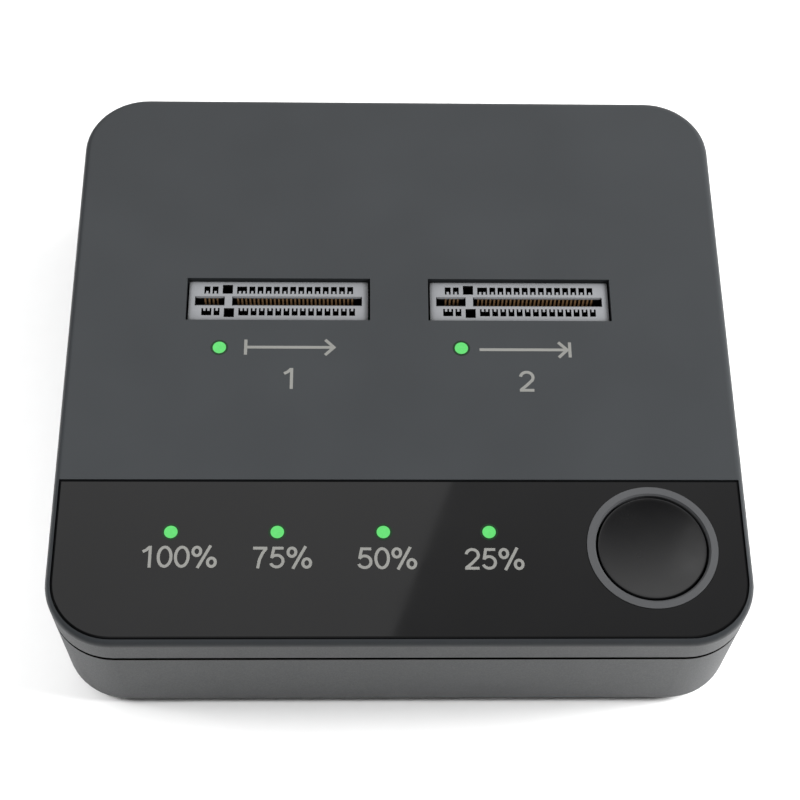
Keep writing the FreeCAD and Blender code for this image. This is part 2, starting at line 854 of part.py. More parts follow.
def make_button_cap():
    """Dished cap with four ears that keep it under the lid and a post over the switch."""
    body = new_body("button_cap")
    cap_top = top - s.button_recess
    rim = s.button_radius - s.button_edge
    ear_low = plate_under - s.button_ear_gap - s.button_ear_thickness
    profile = new_sketch(body, "CapProfile", "XZ_Plane")
    draw_polygon(profile, [
        (ZERO, ear_low),
        (s.button_radius, ear_low),
        (s.button_radius, cap_top - s.button_edge),
        (rim, cap_top),
        (rim - s.button_rim, cap_top),
        (s.button_dish_flat, cap_top - s.button_dish_depth),
        (ZERO, cap_top - s.button_dish_depth),
    ])
    revolve(body, "CapTurn", profile)
    ears = new_sketch(body, "EarOutline", "XY_Plane", ear_low)
    draw_cross(ears, s.button_ear_reach, s.button_ear_width / 2)
    pad(body, "Ears", ears, s.button_ear_thickness)
    stem_top = board_top + s.tact_height
    post = new_sketch(body, "PostOutline", "XY_Plane", stem_top)
    draw_squares(post, [(ZERO, ZERO)], s.button_post_width)
    pad(body, "Post", post, ear_low - stem_top)
    place(body, button_x, button_y)
    return body


def make_tact_switch():
    """Standard square tact switch: body, pressed cover, stem and four legs."""
    low = board_top
    body_high = low + s.tact_body_height
    cover_high = body_high + s.tact_cover_thickness
    stem_low = cover_high - s.tact_stem_depth
    bore = s.tact_stem_radius + s.tact_stem_clearance
    block = centred_box("tact_block", button_x, button_y, s.tact_width, s.tact_width,
                        low, s.tact_body_height)
    well = cylinder("tact_well", button_x, button_y, stem_low - s.tact_stem_room, bore,
                    s.tact_stem_depth + s.tact_stem_room)
    body = cut("tact_switch_body", block, [well])
    plate = centred_box("tact_plate", button_x, button_y, s.tact_width, s.tact_width,
                        body_high, s.tact_cover_thickness)
    hole = cylinder("tact_plate_hole", button_x, button_y, body_high, bore,
                    s.tact_cover_thickness)
    cover = cut("tact_switch_cover", plate, [hole])
    stem = cylinder("tact_switch_stem", button_x, button_y, stem_low, s.tact_stem_radius,
                    low + s.tact_height - stem_low)
    legs = []
    for side in (-1, 1):
        for end in (-1, 1):
            name = "tact_leg_%d" % (len(legs) + 1)
            x = button_x + s.tact_leg_spread * end
            face = button_y + s.tact_width / 2 * side
            rise = centred_box(name + "_rise", x, face + s.tact_leg_thickness / 2 * side,
                               s.tact_leg_width, s.tact_leg_thickness,
                               low, s.tact_leg_height)
            foot = centred_box(name + "_foot", x, face + s.tact_leg_reach / 2 * side,
                               s.tact_leg_width, s.tact_leg_reach,
                               low, s.tact_leg_thickness)
            legs.append(joined(name, [rise, foot]))
    return [body, cover, stem, group("tact_switch_legs", legs)]


# ---------------------------------------------------------------- lamps and light guides

def make_lamps():
    """Lamps on the board, the clear guides that carry their light up, and a dark baffle."""
    legs_low = lamp_top + s.lamp_gap
    progress = [
        centred_box("progress_lamp_%d" % number, x, y, s.lamp_length, s.lamp_depth,
                    board_top, s.lamp_height)
        for number, (x, y) in enumerate(lamp_places, 1)
    ]
    slot = [
        centred_box("slot_lamp_%d" % number, x, y, s.lamp_length, s.lamp_depth,
                    board_top, s.lamp_height)
        for number, (x, y) in enumerate(slot_lamp_places, 1)
    ]
    rail_left = lamp_first_x - s.guide_rail_overhang
    rail_right = lamp_last_x + s.guide_rail_overhang
    rail_low = plate_under - s.guide_rail_thickness
    guide_parts = [box("guide_rail", rail_left, rail_right, lamp_y - s.guide_rail_depth / 2,
                       lamp_y + s.guide_rail_depth / 2, rail_low, plate_under)]
    for number, (x, y) in enumerate(lamp_places, 1):
        guide_parts.append(cylinder("progress_pin_%d" % number, x, y, plate_under,
                                    s.progress_pin_radius, top - plate_under))
        guide_parts.append(centred_box("progress_leg_%d" % number, x, y, s.guide_leg_width,
                                       s.guide_leg_width, legs_low, rail_low - legs_low))
    pipes = []
    flange_low = plate_under - s.slot_flange_thickness
    for number, (x, y) in enumerate(slot_lamp_places, 1):
        pin = cylinder("slot_pin_%d" % number, x, y, plate_under, s.slot_pin_radius,
                       top - plate_under)
        flange = centred_box("slot_flange_%d" % number, x, y, s.slot_flange_width,
                             s.slot_flange_width, flange_low, s.slot_flange_thickness)
        leg = centred_box("slot_leg_%d" % number, x, y, s.guide_leg_width,
                          s.guide_leg_width, legs_low, flange_low - legs_low)
        pipes.append(joined("slot_pipe_%d" % number, [pin, flange, leg]))
    block = box("baffle_block", rail_left, rail_right,
                lamp_y - s.baffle_depth / 2, lamp_y + s.baffle_depth / 2,
                board_top, board_top + s.baffle_height)
    cells = [
        centred_box("baffle_cell_%d" % number, x, y, s.baffle_cell_width,
                    s.baffle_cell_width, board_top, s.baffle_height)
        for number, (x, y) in enumerate(lamp_places, 1)
    ]
    return [
        group("progress_lamps", progress),
        group("slot_lamps", slot),
        joined("progress_light_guide", guide_parts),
        group("slot_light_pipes", pipes),
        cut("light_baffle", block, cells),
    ]


# ---------------------------------------------------------------- M.2 sockets

def draw_window(sketch, row_end, first, count, side):
    """A cavity over neighbouring contacts, with a short rib between each two of them."""
    inner = s.window_inner * side
    outer = s.window_outer * side
    rib_tip = (s.window_inner + s.window_rib_length) * side
    right = place_of(row_end, first) + s.window_side
    left = place_of(row_end, first + count - 1) - s.window_side
    points = [(left, outer), (left, inner)]
    for number in range(first + count - 2, first - 1, -1):
        middle = place_of(row_end, number + 0.5)
        points += [
            (middle - s.window_rib_width / 2, inner),
            (middle - s.window_rib_width / 2, rib_tip),
            (middle + s.window_rib_width / 2, rib_tip),
            (middle + s.window_rib_width / 2, inner),
        ]
    points += [(right, inner), (right, outer)]
    draw_polygon(sketch, points)


def make_socket_housing(label, x):
    """Upright 67-way M-key socket: keyed slot, contact cavities and retention slits."""
    body = new_body(label)
    foot_x = socket_half - s.socket_foot_length
    side = new_sketch(body, label + "_side", "XZ_Plane")
    draw_polygon(side, [
        (-socket_half, ZERO), (-foot_x, ZERO), (-foot_x, s.socket_foot_height),
        (foot_x, s.socket_foot_height), (foot_x, ZERO), (socket_half, ZERO),
        (socket_half, s.socket_height), (-socket_half, s.socket_height),
    ])
    pad(body, label + "_block", side, s.socket_depth, symmetric=True)

    key_left = key_middle - s.key_width / 2
    key_right = key_middle + s.key_width / 2
    half_slot = s.slot_width / 2
    slot = new_sketch(body, label + "_slot_outline", "XY_Plane", s.socket_height)
    draw_rectangle(slot, -slot_half, key_left, -half_slot, half_slot)
    draw_rectangle(slot, key_right, slot_half, -half_slot, half_slot)
    pocket(body, label + "_slot", slot, s.slot_depth)

    def slot_mouth(edge):
        bounds = edge.BoundBox
        lies_across = bounds.YLength < TOLERANCE
        beside_slot = abs(abs(bounds.YMin) - half_slot.value) < TOLERANCE
        return at_height(s.socket_height)(edge) and lies_across and beside_slot
    bevel_edges(body, label + "_lead_in", slot_mouth, s.slot_lead_in)

    slits = new_sketch(body, label + "_slit_outlines", "XY_Plane",
                       s.socket_height - s.slot_depth)
    for end in (-1, 1):
        near = (half_slot - s.contact_thickness) * end
        far = half_slot * end
        draw_rectangle(slits, -slot_half, key_left, near, far)
        draw_rectangle(slits, key_right, slot_half, near, far)
    pocket(body, label + "_slits", slits)

    def window(name, row_end, first, count, end):
        sketch = new_sketch(body, label + name, "XY_Plane", s.socket_height)
        draw_window(sketch, row_end, first, count, end)
        return pocket(body, label + name + "_cut", sketch, s.window_depth)

    rows = [
        ("_rear", rear_row_end, 1, REAR_SHORT_COUNT),
        ("_front", front_row_end, -1, FRONT_SHORT_COUNT),
    ]
    for name, row_end, end, short_count in rows:
        pair = window(name + "_pair", row_end, 0, PAIR_COUNT, end)
        repeat(body, label + name + "_pairs", [pair], s.contact_pitch * PAIR_COUNT,
               PAIR_WINDOW_COUNT)
        window(name + "_triple", row_end, LONG_GROUP_COUNT - TRIPLE_COUNT, TRIPLE_COUNT, end)
        window(name + "_short_a", row_end, places_to_short_group, PAIR_COUNT, end)
        window(name + "_short_b", row_end, places_to_short_group + PAIR_COUNT,
               short_count - PAIR_COUNT, end)
        core = new_sketch(body, label + name + "_core", "XY_Plane", s.socket_height)
        gap_middle = place_of(row_end, key_place)
        draw_rectangle(core, gap_middle - s.core_width / 2, gap_middle + s.core_width / 2,
                       s.window_inner * end, s.core_outer * end)
        pocket(body, label + name + "_core_cut", core, s.window_depth)
    place(body, x, slot_y, board_top)
    return body


def make_socket_contacts(label, x):
    """Flat contact blades on both slot walls, which go down through the slits to the board."""
    body = new_body(label)
    groups = [
        ("_rear_long", rear_row_end, 0, LONG_GROUP_COUNT, 1),
        ("_rear_short", rear_row_end, places_to_short_group, REAR_SHORT_COUNT, 1),
        ("_front_long", front_row_end, 0, LONG_GROUP_COUNT, -1),
        ("_front_short", front_row_end, places_to_short_group, FRONT_SHORT_COUNT, -1),
    ]
    far = s.slot_width / 2
    near = far - s.contact_thickness
    tip = s.socket_height - s.contact_tip_drop
    for name, row_end, first, count, end in groups:
        blade = new_sketch(body, label + name, "YZ_Plane", place_of(row_end, first))
        draw_rectangle(blade, near * end, far * end, ZERO, tip)
        single = pad(body, label + name + "_blade", blade, s.contact_width, symmetric=True)
        repeat(body, label + name + "_row", [single], s.contact_pitch, count)
    place(body, x, slot_y, board_top)
    return body


def make_socket_anchors(label, x):
    """Soldered steel brackets at both ends of the socket."""
    body = new_body(label)
    face = socket_half
    bracket = new_sketch(body, label + "_profile", "XZ_Plane")
    draw_polygon(bracket, [
        (face, ZERO),
        (face + s.anchor_reach, ZERO),
        (face + s.anchor_reach, s.anchor_thickness),
        (face + s.anchor_thickness, s.anchor_thickness),
        (face + s.anchor_thickness, s.anchor_height),
        (face, s.anchor_height),
    ])
    single = pad(body, label + "_bracket", bracket, s.anchor_depth, symmetric=True)
    mirror(body, label + "_pair", [single], "YZ_Plane")
    place(body, x, slot_y, board_top)
    return body


# ---------------------------------------------------------------- circuit board and its parts

def make_board():
    """Board clamped between the tray's and the lid's posts, notched for the power jack."""
    body = new_body("circuit_board")
    outline = new_sketch(body, "BoardOutline", "XY_Plane", board_under)
    side = inner_width - s.board_margin
    end = inner_depth - s.board_margin
    draw_rounded(outline, -side, side, -end, end, s.board_corner_radius,
                 s.board_corner_radius)
    draw_circles(outline, screw_places, s.screw_radius + s.screw_clearance)
    pad(body, "BoardSheet", outline, s.board_thickness)
    notch = new_sketch(body, "JackNotchOutline", "XY_Plane", board_top)
    notch_half = s.jack_width / 2 + s.jack_board_gap
    draw_rectangle(notch, jack_x - notch_half, jack_x + notch_half, jack_rear, half_depth)
    pocket(body, "JackNotch", notch, s.board_thickness)
    return body


def make_usb_socket():
    """Top-mounted USB-C receptacle: drawn shell, plastic tongue and two contact rows."""
    face = half_depth - s.usb_face_recess
    back = face - s.usb_length
    half = s.usb_width / 2
    rise = s.usb_height / 2
    shell = new_body("usb_c_shell")
    tube = new_sketch(shell, "UsbTube", "XZ_Plane", -face)
    draw_rounded(tube, -half, half, usb_z - rise, usb_z + rise,
                 s.usb_corner_radius, s.usb_corner_radius)
    draw_rounded(tube, s.usb_metal - half, half - s.usb_metal,
                 usb_z - rise + s.usb_metal, usb_z + rise - s.usb_metal,
                 s.usb_corner_radius - s.usb_metal, s.usb_corner_radius - s.usb_metal)
    pad(shell, "UsbShell", tube, s.usb_length)

    tongue = new_body("usb_c_tongue")
    plug = new_sketch(tongue, "UsbBack", "XZ_Plane", -(back + s.usb_back_length))
    draw_rounded(plug, s.usb_metal - half, half - s.usb_metal,
                 usb_z - rise + s.usb_metal, usb_z + rise - s.usb_metal,
                 s.usb_corner_radius - s.usb_metal, s.usb_corner_radius - s.usb_metal)
    pad(tongue, "UsbBackBlock", plug, s.usb_back_length)
    blade = new_sketch(tongue, "UsbBlade", "XZ_Plane", -(face - s.usb_tongue_recess))
    draw_rectangle(blade, -s.usb_tongue_width / 2, s.usb_tongue_width / 2,
                   usb_z - s.usb_tongue_height / 2, usb_z + s.usb_tongue_height / 2)
    blade_length = s.usb_length - s.usb_tongue_recess - s.usb_back_length
    pad(tongue, "UsbTongue", blade, blade_length)

    contacts = []
    first = -s.usb_contact_pitch * (USB_CONTACT_COUNT - 1) / 2
    for side in (-1, 1):
        for number in range(USB_CONTACT_COUNT):
            x = first + s.usb_contact_pitch * number
            gap = s.usb_tongue_height / 2 + s.usb_contact_thickness / 2
            middle = usb_z + gap * side
            contacts.append(box(
                "usb_contact_%d" % (len(contacts) + 1),
                x - s.usb_contact_width / 2, x + s.usb_contact_width / 2,
                back + s.usb_back_length, face - s.usb_tongue_recess - s.usb_contact_width,
                middle - s.usb_contact_thickness / 2, middle + s.usb_contact_thickness / 2))
    return [shell, tongue, group("usb_c_contacts", contacts)]


def make_power_jack():
    """Barrel jack sunk into the board's notch: moulded body, centre pin, spring and tabs."""
    nose_back = jack_face - s.jack_nose_length
    half = s.jack_width / 2
    low = board_top - s.jack_sink
    block = box("jack_block", jack_x - half, jack_x + half, jack_rear, nose_back,
                low, low + s.jack_height)
    nose = cylinder("jack_nose", jack_x, nose_back, jack_z, s.jack_nose_radius,
                    s.jack_nose_length, along_y=True)
    ears = box("jack_ears", jack_x - half - s.jack_ear_reach, jack_x + half + s.jack_ear_reach,
               jack_rear + s.jack_ear_thickness,
               jack_rear + s.jack_ear_thickness + s.jack_ear_length,
               board_top, board_top + s.jack_ear_thickness)
    bore_back = jack_face - s.jack_bore_depth
    bore = cylinder("jack_bore", jack_x, bore_back, jack_z, s.jack_bore_radius,
                    s.jack_bore_depth, along_y=True)
    pin_hole = cylinder("jack_pin_hole", jack_x, jack_rear, jack_z, s.jack_root_radius,
                        bore_back - jack_rear, along_y=True)
    spring_low = jack_z + s.jack_bore_radius - s.jack_spring_proud
    spring_side = s.jack_spring_width / 2
    groove = box("jack_groove", jack_x - spring_side, jack_x + spring_side,
                 jack_rear, bore_back + s.jack_spring_length, spring_low - s.jack_spring_proud,
                 spring_low + s.jack_spring_thickness)
    body = cut("jack_body", joined("jack_moulding", [block, nose, ears]),
               [bore, pin_hole, groove])
    root = cylinder("jack_pin_root", jack_x, jack_rear - s.jack_tail_length, jack_z,
                    s.jack_root_radius, bore_back - jack_rear + s.jack_tail_length,
                    along_y=True)
    shaft = cylinder("jack_pin_shaft", jack_x, bore_back, jack_z, s.jack_pin_radius,
                     jack_face - s.jack_pin_recess - bore_back, along_y=True)
    pin = joined("jack_pin", [root, shaft])
    spring = box("jack_spring", jack_x - spring_side, jack_x + spring_side,
                 jack_rear, bore_back + s.jack_spring_length,
                 spring_low, spring_low + s.jack_spring_thickness)
    tabs = [
        centred_box("jack_tab_%d" % number, jack_x + s.jack_tab_spread * side,
                    jack_rear - s.jack_spring_thickness / 2,
                    s.jack_tab_width, s.jack_spring_thickness,
                    board_top, s.jack_tab_height)
        for number, side in enumerate((-1, 1), 1)
    ]
    return [body, pin, spring, group("jack_tabs", tabs)]


def make_power_switch():
    """Push switch at the rear wall: body, bracket, plunger and the cap that a finger meets."""
    body_face = inner_depth - s.switch_to_wall
    body_back = body_face - s.switch_body_depth
    half = s.switch_width / 2
    high = board_top + s.switch_height
    block = box("switch_block", switch_x - half, switch_x + half, body_back, body_face,
                board_top, high)
    cap_back = body_face + s.switch_travel_room
    plunger_back = cap_back - s.plunger_length
    hole_half = s.plunger_width / 2 + s.plunger_clearance
    hole = box("switch_hole", switch_x - hole_half, switch_x + hole_half,
               plunger_back - s.switch_travel_room, body_face,
               switch_z - hole_half, switch_z + hole_half)
    body = cut("power_switch_body", block, [hole])

    bracket = new_body("power_switch_bracket")
    section = new_sketch(bracket, "BracketSection", "XZ_Plane",
                         -(body_face - s.switch_frame_setback))
    outer = half + s.switch_metal
    draw_polygon(section, [
        (switch_x - outer, board_top), (switch_x - half, board_top),
        (switch_x - half, high), (switch_x + half, high), (switch_x + half, board_top),
        (switch_x + outer, board_top), (switch_x + outer, high + s.switch_metal),
        (switch_x - outer, high + s.switch_metal),
    ])
    pad(bracket, "Bracket", section, s.switch_body_depth - s.switch_frame_setback * 2)

    side = s.plunger_width / 2
    plunger = box("power_switch_plunger", switch_x - side, switch_x + side,
                  plunger_back, cap_back, switch_z - side, switch_z + side)

    cap = new_body("power_button_cap")
    cap_face = half_depth - s.cap_flush
    profile = new_sketch(cap, "PowerCapProfile", "XY_Plane")
    draw_polygon(profile, [
        (ZERO, cap_back),
        (s.cap_radius, cap_back),
        (s.cap_radius, cap_face - s.cap_edge),
        (s.cap_radius - s.cap_edge, cap_face),
        (ZERO, cap_face),
    ])
    revolve(cap, "PowerCapTurn", profile)
    flange = new_sketch(cap, "FlangeOutline", "XZ_Plane", -(inner_depth - s.cap_flange_gap))
    draw_rectangle(flange, -s.cap_flange_width / 2, s.cap_flange_width / 2,
                   -s.cap_flange_height / 2, s.cap_flange_height / 2)
    pad(cap, "Flange", flange, s.cap_flange_thickness)
    place(cap, switch_x, ZERO, switch_z)
    return [body, bracket, plunger, cap]


def make_chips():
    """Copy controller, two drive bridges, two memories and two crystals."""
    row_y = slot_y - s.chip_row_from_socket
    controller = centred_box("copy_controller", ZERO, row_y, s.controller_width,
                             s.controller_width, board_top, s.controller_height)
    bridges = []
    memories = []
    legs = []
    crystals = []
    for side in (-1, 1):
        tag = "_%d" % (len(bridges) + 1)
        x = s.slot_spread * side
        bridges.append(centred_box("bridge" + tag, x, row_y, s.bridge_width,
                                   s.bridge_width, board_top, s.bridge_height))
        memory_x = x + s.memory_from_bridge * side
        memories.append(centred_box("memory" + tag, memory_x, row_y, s.memory_width,
                                    s.memory_depth, board_top, s.memory_height))
        for end in (-1, 1):
            leg_x = memory_x + (s.memory_width / 2 + s.memory_leg_reach / 2) * end
            for number in range(MEMORY_LEG_COUNT):
                leg_y = row_y + s.memory_leg_pitch * (number - (MEMORY_LEG_COUNT - 1) / 2)
                legs.append(centred_box(
                    "memory_leg_%d" % (len(legs) + 1), leg_x, leg_y, s.memory_leg_reach,
                    s.memory_leg_width, board_top, s.memory_leg_thickness))
        crystals.append(centred_box(
            "crystal" + tag, s.crystal_from_middle * side, row_y - s.crystal_setback,
            s.crystal_width, s.crystal_depth, board_top, s.crystal_height))
    return [
        controller,
        group("drive_bridge_chips", bridges),
        group("memory_chips", memories),
        group("memory_legs", legs),
        group("crystals", crystals),
    ]


def make_power_parts():
    """Coils, capacitors and transistors in a row behind the sockets."""
    row_y = slot_y + s.power_row_from_socket
    coils = []
    bases = []
    cans = []
    transistors = []
    for number in range(POWER_PART_COUNT):
        tag = "_%d" % (number + 1)
        coil_x = s.power_row_first + s.power_pitch * number
        can_x = coil_x + s.power_pitch * POWER_PART_COUNT
        core = centred_box("coil_block" + tag, coil_x, row_y, s.coil_width, s.coil_width,
                           board_top, s.coil_height)
        coil = doc.addObject("Part::Chamfer", "coil" + tag)
        coil.Label = "coil" + tag
        coil.Base = core
        doc.recompute()
        corner = s.coil_corner.value
        coil.Edges = [
            (index, corner, corner) for index, edge in enumerate(core.Shape.Edges, 1)
            if edge.BoundBox.ZLength > s.coil_height.value / 2
        ]
        coils.append(coil)
        bases.append(centred_box("can_base" + tag, can_x, row_y, s.capacitor_base_width,
                                 s.capacitor_base_width, board_top,
                                 s.capacitor_base_height))
        cans.append(cylinder("can" + tag, can_x, row_y,
                             board_top + s.capacitor_base_height, s.capacitor_radius,
                             s.capacitor_height - s.capacitor_base_height))
        transistors.append(centred_box(
            "transistor" + tag, -coil_x, row_y, s.transistor_width,
            s.transistor_depth, board_top, s.transistor_height))
    return [
        group("power_coils", coils),
        group("capacitor_bases", bases),
        group("electrolytic_capacitors", cans),
        group("power_transistors", transistors),
    ]


def make_ceramics():
    """Small ceramic capacitors in a row behind each socket."""
    items = []
    y = slot_y + s.ceramic_from_socket
    for _, x in sockets:
        for number in range(CERAMIC_COUNT):
            step = s.ceramic_pitch * (number - (CERAMIC_COUNT - 1) / 2)
            items.append(centred_box(
                "ceramic_%d" % (len(items) + 1), x + step, y, s.ceramic_length,
                s.ceramic_depth, board_top, s.ceramic_height))
    return group("ceramic_capacitors", items)


nodes = [make_top_shell(), make_bottom_shell(), make_front_panel(), make_panel_glue()]
nodes += [make_button_ring(), make_button_cap()]
nodes += make_tact_switch()
nodes += make_lamps()
for side_name, socket_x in sockets:
    nodes.append(make_socket_housing(side_name + "_socket_housing", socket_x))
    nodes.append(make_socket_contacts(side_name + "_socket_contacts", socket_x))
    nodes.append(make_socket_anchors(side_name + "_socket_anchors", socket_x))
nodes.append(make_board())
nodes += make_usb_socket()
nodes += make_power_jack()
nodes += make_power_switch()
nodes += make_chips()
nodes += make_power_parts()
nodes.append(make_ceramics())
nodes += [make_feet(), make_screws()]
doc.recompute()

for item in doc.Objects:
    if "Invalid" in item.State or "Error" in item.State:
        raise ValueError("%s failed to compute" % item.Label)
for node in nodes:
    if node.Shape.isNull() or not node.Shape.isValid():
        raise ValueError("%s has no valid shape" % node.Label)

os.makedirs("parts", exist_ok=True)
for node in nodes:
    node.Shape.exportStep("parts/%s.step" % node.Label)
print("%d nodes written" % len(nodes))
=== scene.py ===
import math

import bmesh
import bpy
from mathutils import Matrix, Vector


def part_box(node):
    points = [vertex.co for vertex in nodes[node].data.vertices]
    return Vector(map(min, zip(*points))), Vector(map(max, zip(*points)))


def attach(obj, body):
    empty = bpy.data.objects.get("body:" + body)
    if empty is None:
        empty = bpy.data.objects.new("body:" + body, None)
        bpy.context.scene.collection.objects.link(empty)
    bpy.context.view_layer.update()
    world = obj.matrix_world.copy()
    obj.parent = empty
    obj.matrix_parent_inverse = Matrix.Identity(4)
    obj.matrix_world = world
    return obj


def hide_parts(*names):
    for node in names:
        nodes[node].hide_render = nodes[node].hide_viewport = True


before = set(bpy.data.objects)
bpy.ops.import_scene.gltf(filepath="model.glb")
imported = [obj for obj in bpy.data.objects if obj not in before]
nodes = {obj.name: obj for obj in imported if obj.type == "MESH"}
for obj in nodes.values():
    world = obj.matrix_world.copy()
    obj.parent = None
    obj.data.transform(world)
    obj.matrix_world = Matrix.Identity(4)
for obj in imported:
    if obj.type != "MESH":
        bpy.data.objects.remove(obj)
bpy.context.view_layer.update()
MM = 0.001
TOUCHING = 0.01 * MM


# ---------------------------------------------------------------- bottom shell
# The deep tray of the casing, injection moulded in dark grey ABS. Its mould was spark eroded,
# so the outside has a fine matt grain. Two screws from below hold it to the lid.

CASING_COLOUR = (0.0235, 0.0257, 0.0278)
CASING_GRAIN = 0.16 * MM
CASING_RELIEF = 0.004 * MM
CLOUD_SIZE = 14 * MM
CLOUD_LOW = 0.3
CLOUD_HIGH = 0.7
SHEEN = 0.28
SEAM_MIDDLE = 15.37 * MM
SEAM_HALF = 0.44 * MM
SEAM_CORE = 0.7
# Colour of the painted shade along the casing's seam and inside the sockets' windows.
PAINTED_SHADOW_COLOUR = (0.002, 0.002, 0.002)


def shader_of(finish):
    """The node that holds a finish's colour, gloss and metal."""
    return finish.node_tree.nodes["Principled BSDF"]


def new_finish(name):
    """An empty node material with its shader and the piece's own coordinates."""
    finish = bpy.data.materials.new(name)
    finish.use_nodes = True
    tree = finish.node_tree
    shader = shader_of(finish)
    shader.inputs["Specular IOR Level"].default_value = SHEEN
    place = tree.nodes.new("ShaderNodeTexCoord").outputs["Object"]
    return finish, tree, shader, place


def noise(tree, place, size, detail=2.0):
    """Cloudy values between nought and one, with clouds about as wide as the size in metres."""
    node = tree.nodes.new("ShaderNodeTexNoise")
    node.inputs["Scale"].default_value = 1 / size
    node.inputs["Detail"].default_value = detail
    tree.links.new(place, node.inputs["Vector"])
    return node.outputs["Fac"]


def spread(tree, value, low, high):
    """Stretches cloudy values to run from low to high."""
    node = tree.nodes.new("ShaderNodeMapRange")
    node.inputs["From Min"].default_value = CLOUD_LOW
    node.inputs["From Max"].default_value = CLOUD_HIGH
    node.inputs["To Min"].default_value = low
    node.inputs["To Max"].default_value = high
    tree.links.new(value, node.inputs["Value"])
    return node.outputs["Result"]


def blend_colours(tree, value, first, second):
    """Runs from the first colour to the second as the value runs from nought to one."""
    node = tree.nodes.new("ShaderNodeMix")
    node.data_type = "RGBA"
    tree.links.new(value, node.inputs["Factor"])
    node.inputs["A"].default_value = (*first, 1)
    node.inputs["B"].default_value = (*second, 1)
    return node.outputs["Result"]


def raise_grain(tree, shader, value, relief):
    """Makes the surface stand up by the relief in metres where the value is high."""
    bump = tree.nodes.new("ShaderNodeBump")
    bump.inputs["Strength"].default_value = 1.0
    bump.inputs["Distance"].default_value = relief
    tree.links.new(value, bump.inputs["Height"])
    tree.links.new(bump.outputs["Normal"], shader.inputs["Normal"])


def moulded(name, colour, roughness, grain, relief, mottle=0.06, gloss_change=0.05):
    """Moulded plastic: slightly cloudy colour, uneven gloss and a fine grain."""
    finish, tree, shader, place = new_finish(name)
    clouds = spread(tree, noise(tree, place, CLOUD_SIZE), 0, 1)
    darker = [part * (1 - mottle) for part in colour]
    lighter = [part * (1 + mottle) for part in colour]
    tree.links.new(blend_colours(tree, clouds, darker, lighter), shader.inputs["Base Color"])
    grains = noise(tree, place, grain, 3.0)
    gloss = spread(tree, grains, roughness - gloss_change, roughness + gloss_change)
    tree.links.new(gloss, shader.inputs["Roughness"])
    raise_grain(tree, shader, grains, relief)
    return finish


def dress(finish, *names):
    """Gives CAD nodes their finish."""
    for name in names:
        for slot in nodes[name].material_slots:
            slot.material = finish


def paint_seam_shade(finish):
    """Paints shade into the colour in a band round the seam, full in its middle and fading out at
    its edges, and takes the sheen out there too. The edges beside the seam are rounded off, so
    they fall into shadow with the groove.
    """
    tree = finish.node_tree
    shader = shader_of(finish)
    place = tree.nodes.new("ShaderNodeTexCoord").outputs["Object"]
    split = tree.nodes.new("ShaderNodeSeparateXYZ")
    tree.links.new(place, split.inputs["Vector"])
    away = tree.nodes.new("ShaderNodeMath")
    away.operation = "SUBTRACT"
    away.inputs[1].default_value = SEAM_MIDDLE
    tree.links.new(split.outputs["Z"], away.inputs[0])
    size = tree.nodes.new("ShaderNodeMath")
    size.operation = "ABSOLUTE"
    tree.links.new(away.outputs["Value"], size.inputs[0])
    fade = tree.nodes.new("ShaderNodeMapRange")
    fade.inputs["From Min"].default_value = SEAM_HALF * SEAM_CORE
    fade.inputs["From Max"].default_value = SEAM_HALF
    tree.links.new(size.outputs["Value"], fade.inputs["Value"])
    seam_shade = tree.nodes.new("ShaderNodeMix")
    seam_shade.data_type = "RGBA"
    tree.links.new(fade.outputs["Result"], seam_shade.inputs["Factor"])
    seam_shade.inputs["A"].default_value = (*PAINTED_SHADOW_COLOUR, 1)
    tree.links.new(shader.inputs["Base Color"].links[0].from_socket, seam_shade.inputs["B"])
    tree.links.new(seam_shade.outputs["Result"], shader.inputs["Base Color"])
    gleam = tree.nodes.new("ShaderNodeMix")
    tree.links.new(fade.outputs["Result"], gleam.inputs["Factor"])
    gleam.inputs["A"].default_value = 0.0
    gleam.inputs["B"].default_value = SHEEN
    tree.links.new(gleam.outputs["Result"], shader.inputs["Specular IOR Level"])


casing = moulded("casing_grain", CASING_COLOUR, roughness=0.45, grain=CASING_GRAIN,
                 relief=CASING_RELIEF)
# Painted shade in a band along the seam, on the tray and on the lid alike.
paint_seam_shade(casing)
dress(casing, "bottom_shell")


# ---------------------------------------------------------------- rubber feet
# Four stick-on discs of black rubber. Each is pressed in a mould that leaves a rounded rim,
# a raised ring in the middle of the sole and a wider one at its edge.

FOOT_RADIUS = 4.5 * MM
FOOT_RIM = 0.25 * MM
HOLLOW_DEPTH = 0.15 * MM
HOLLOW_SLOPE = 0.1 * MM
HUB_RADIUS = 0.3 * MM
RING_INSIDE = 1.4 * MM
RING_OUTSIDE = 2.4 * MM
SOLE_INSIDE = 3.2 * MM
RUBBER_COLOUR = (0.012, 0.012, 0.013)


def lathe(name, profile, steps=96, sharp=math.radians(35)):
    """Turns a profile of (radius, height) points round the vertical axis, with flat ends."""
    points = []
    faces = []
    for radius, height in profile:
        for step in range(steps):
            angle = 2 * math.pi * step / steps
            points.append((radius * math.cos(angle), radius * math.sin(angle), height))
    for row in range(len(profile) - 1):
        for step in range(steps):
            after = (step + 1) % steps
            low = row * steps
            high = low + steps
            faces.append((low + step, low + after, high + after, high + step))
    faces.append(tuple(reversed(range(steps))))
    last = (len(profile) - 1) * steps
    faces.append(tuple(range(last, last + steps)))
    mesh = bpy.data.meshes.new(name)
    mesh.from_pydata(points, [], faces)
    mesh.shade_smooth()
    mesh.set_sharp_from_angle(angle=sharp)
    piece = bpy.data.objects.new(name, mesh)
    bpy.context.scene.collection.objects.link(piece)
    return piece


def rounded_corner(x, z, radius, start, count=6):
    """Points on a quarter circle about (x, z), from the start angle in quarter turns."""
    angles = [(start + step / count) * math.pi / 2 for step in range(count + 1)]
    return [(x + radius * math.cos(angle), z + radius * math.sin(angle)) for angle in angles]


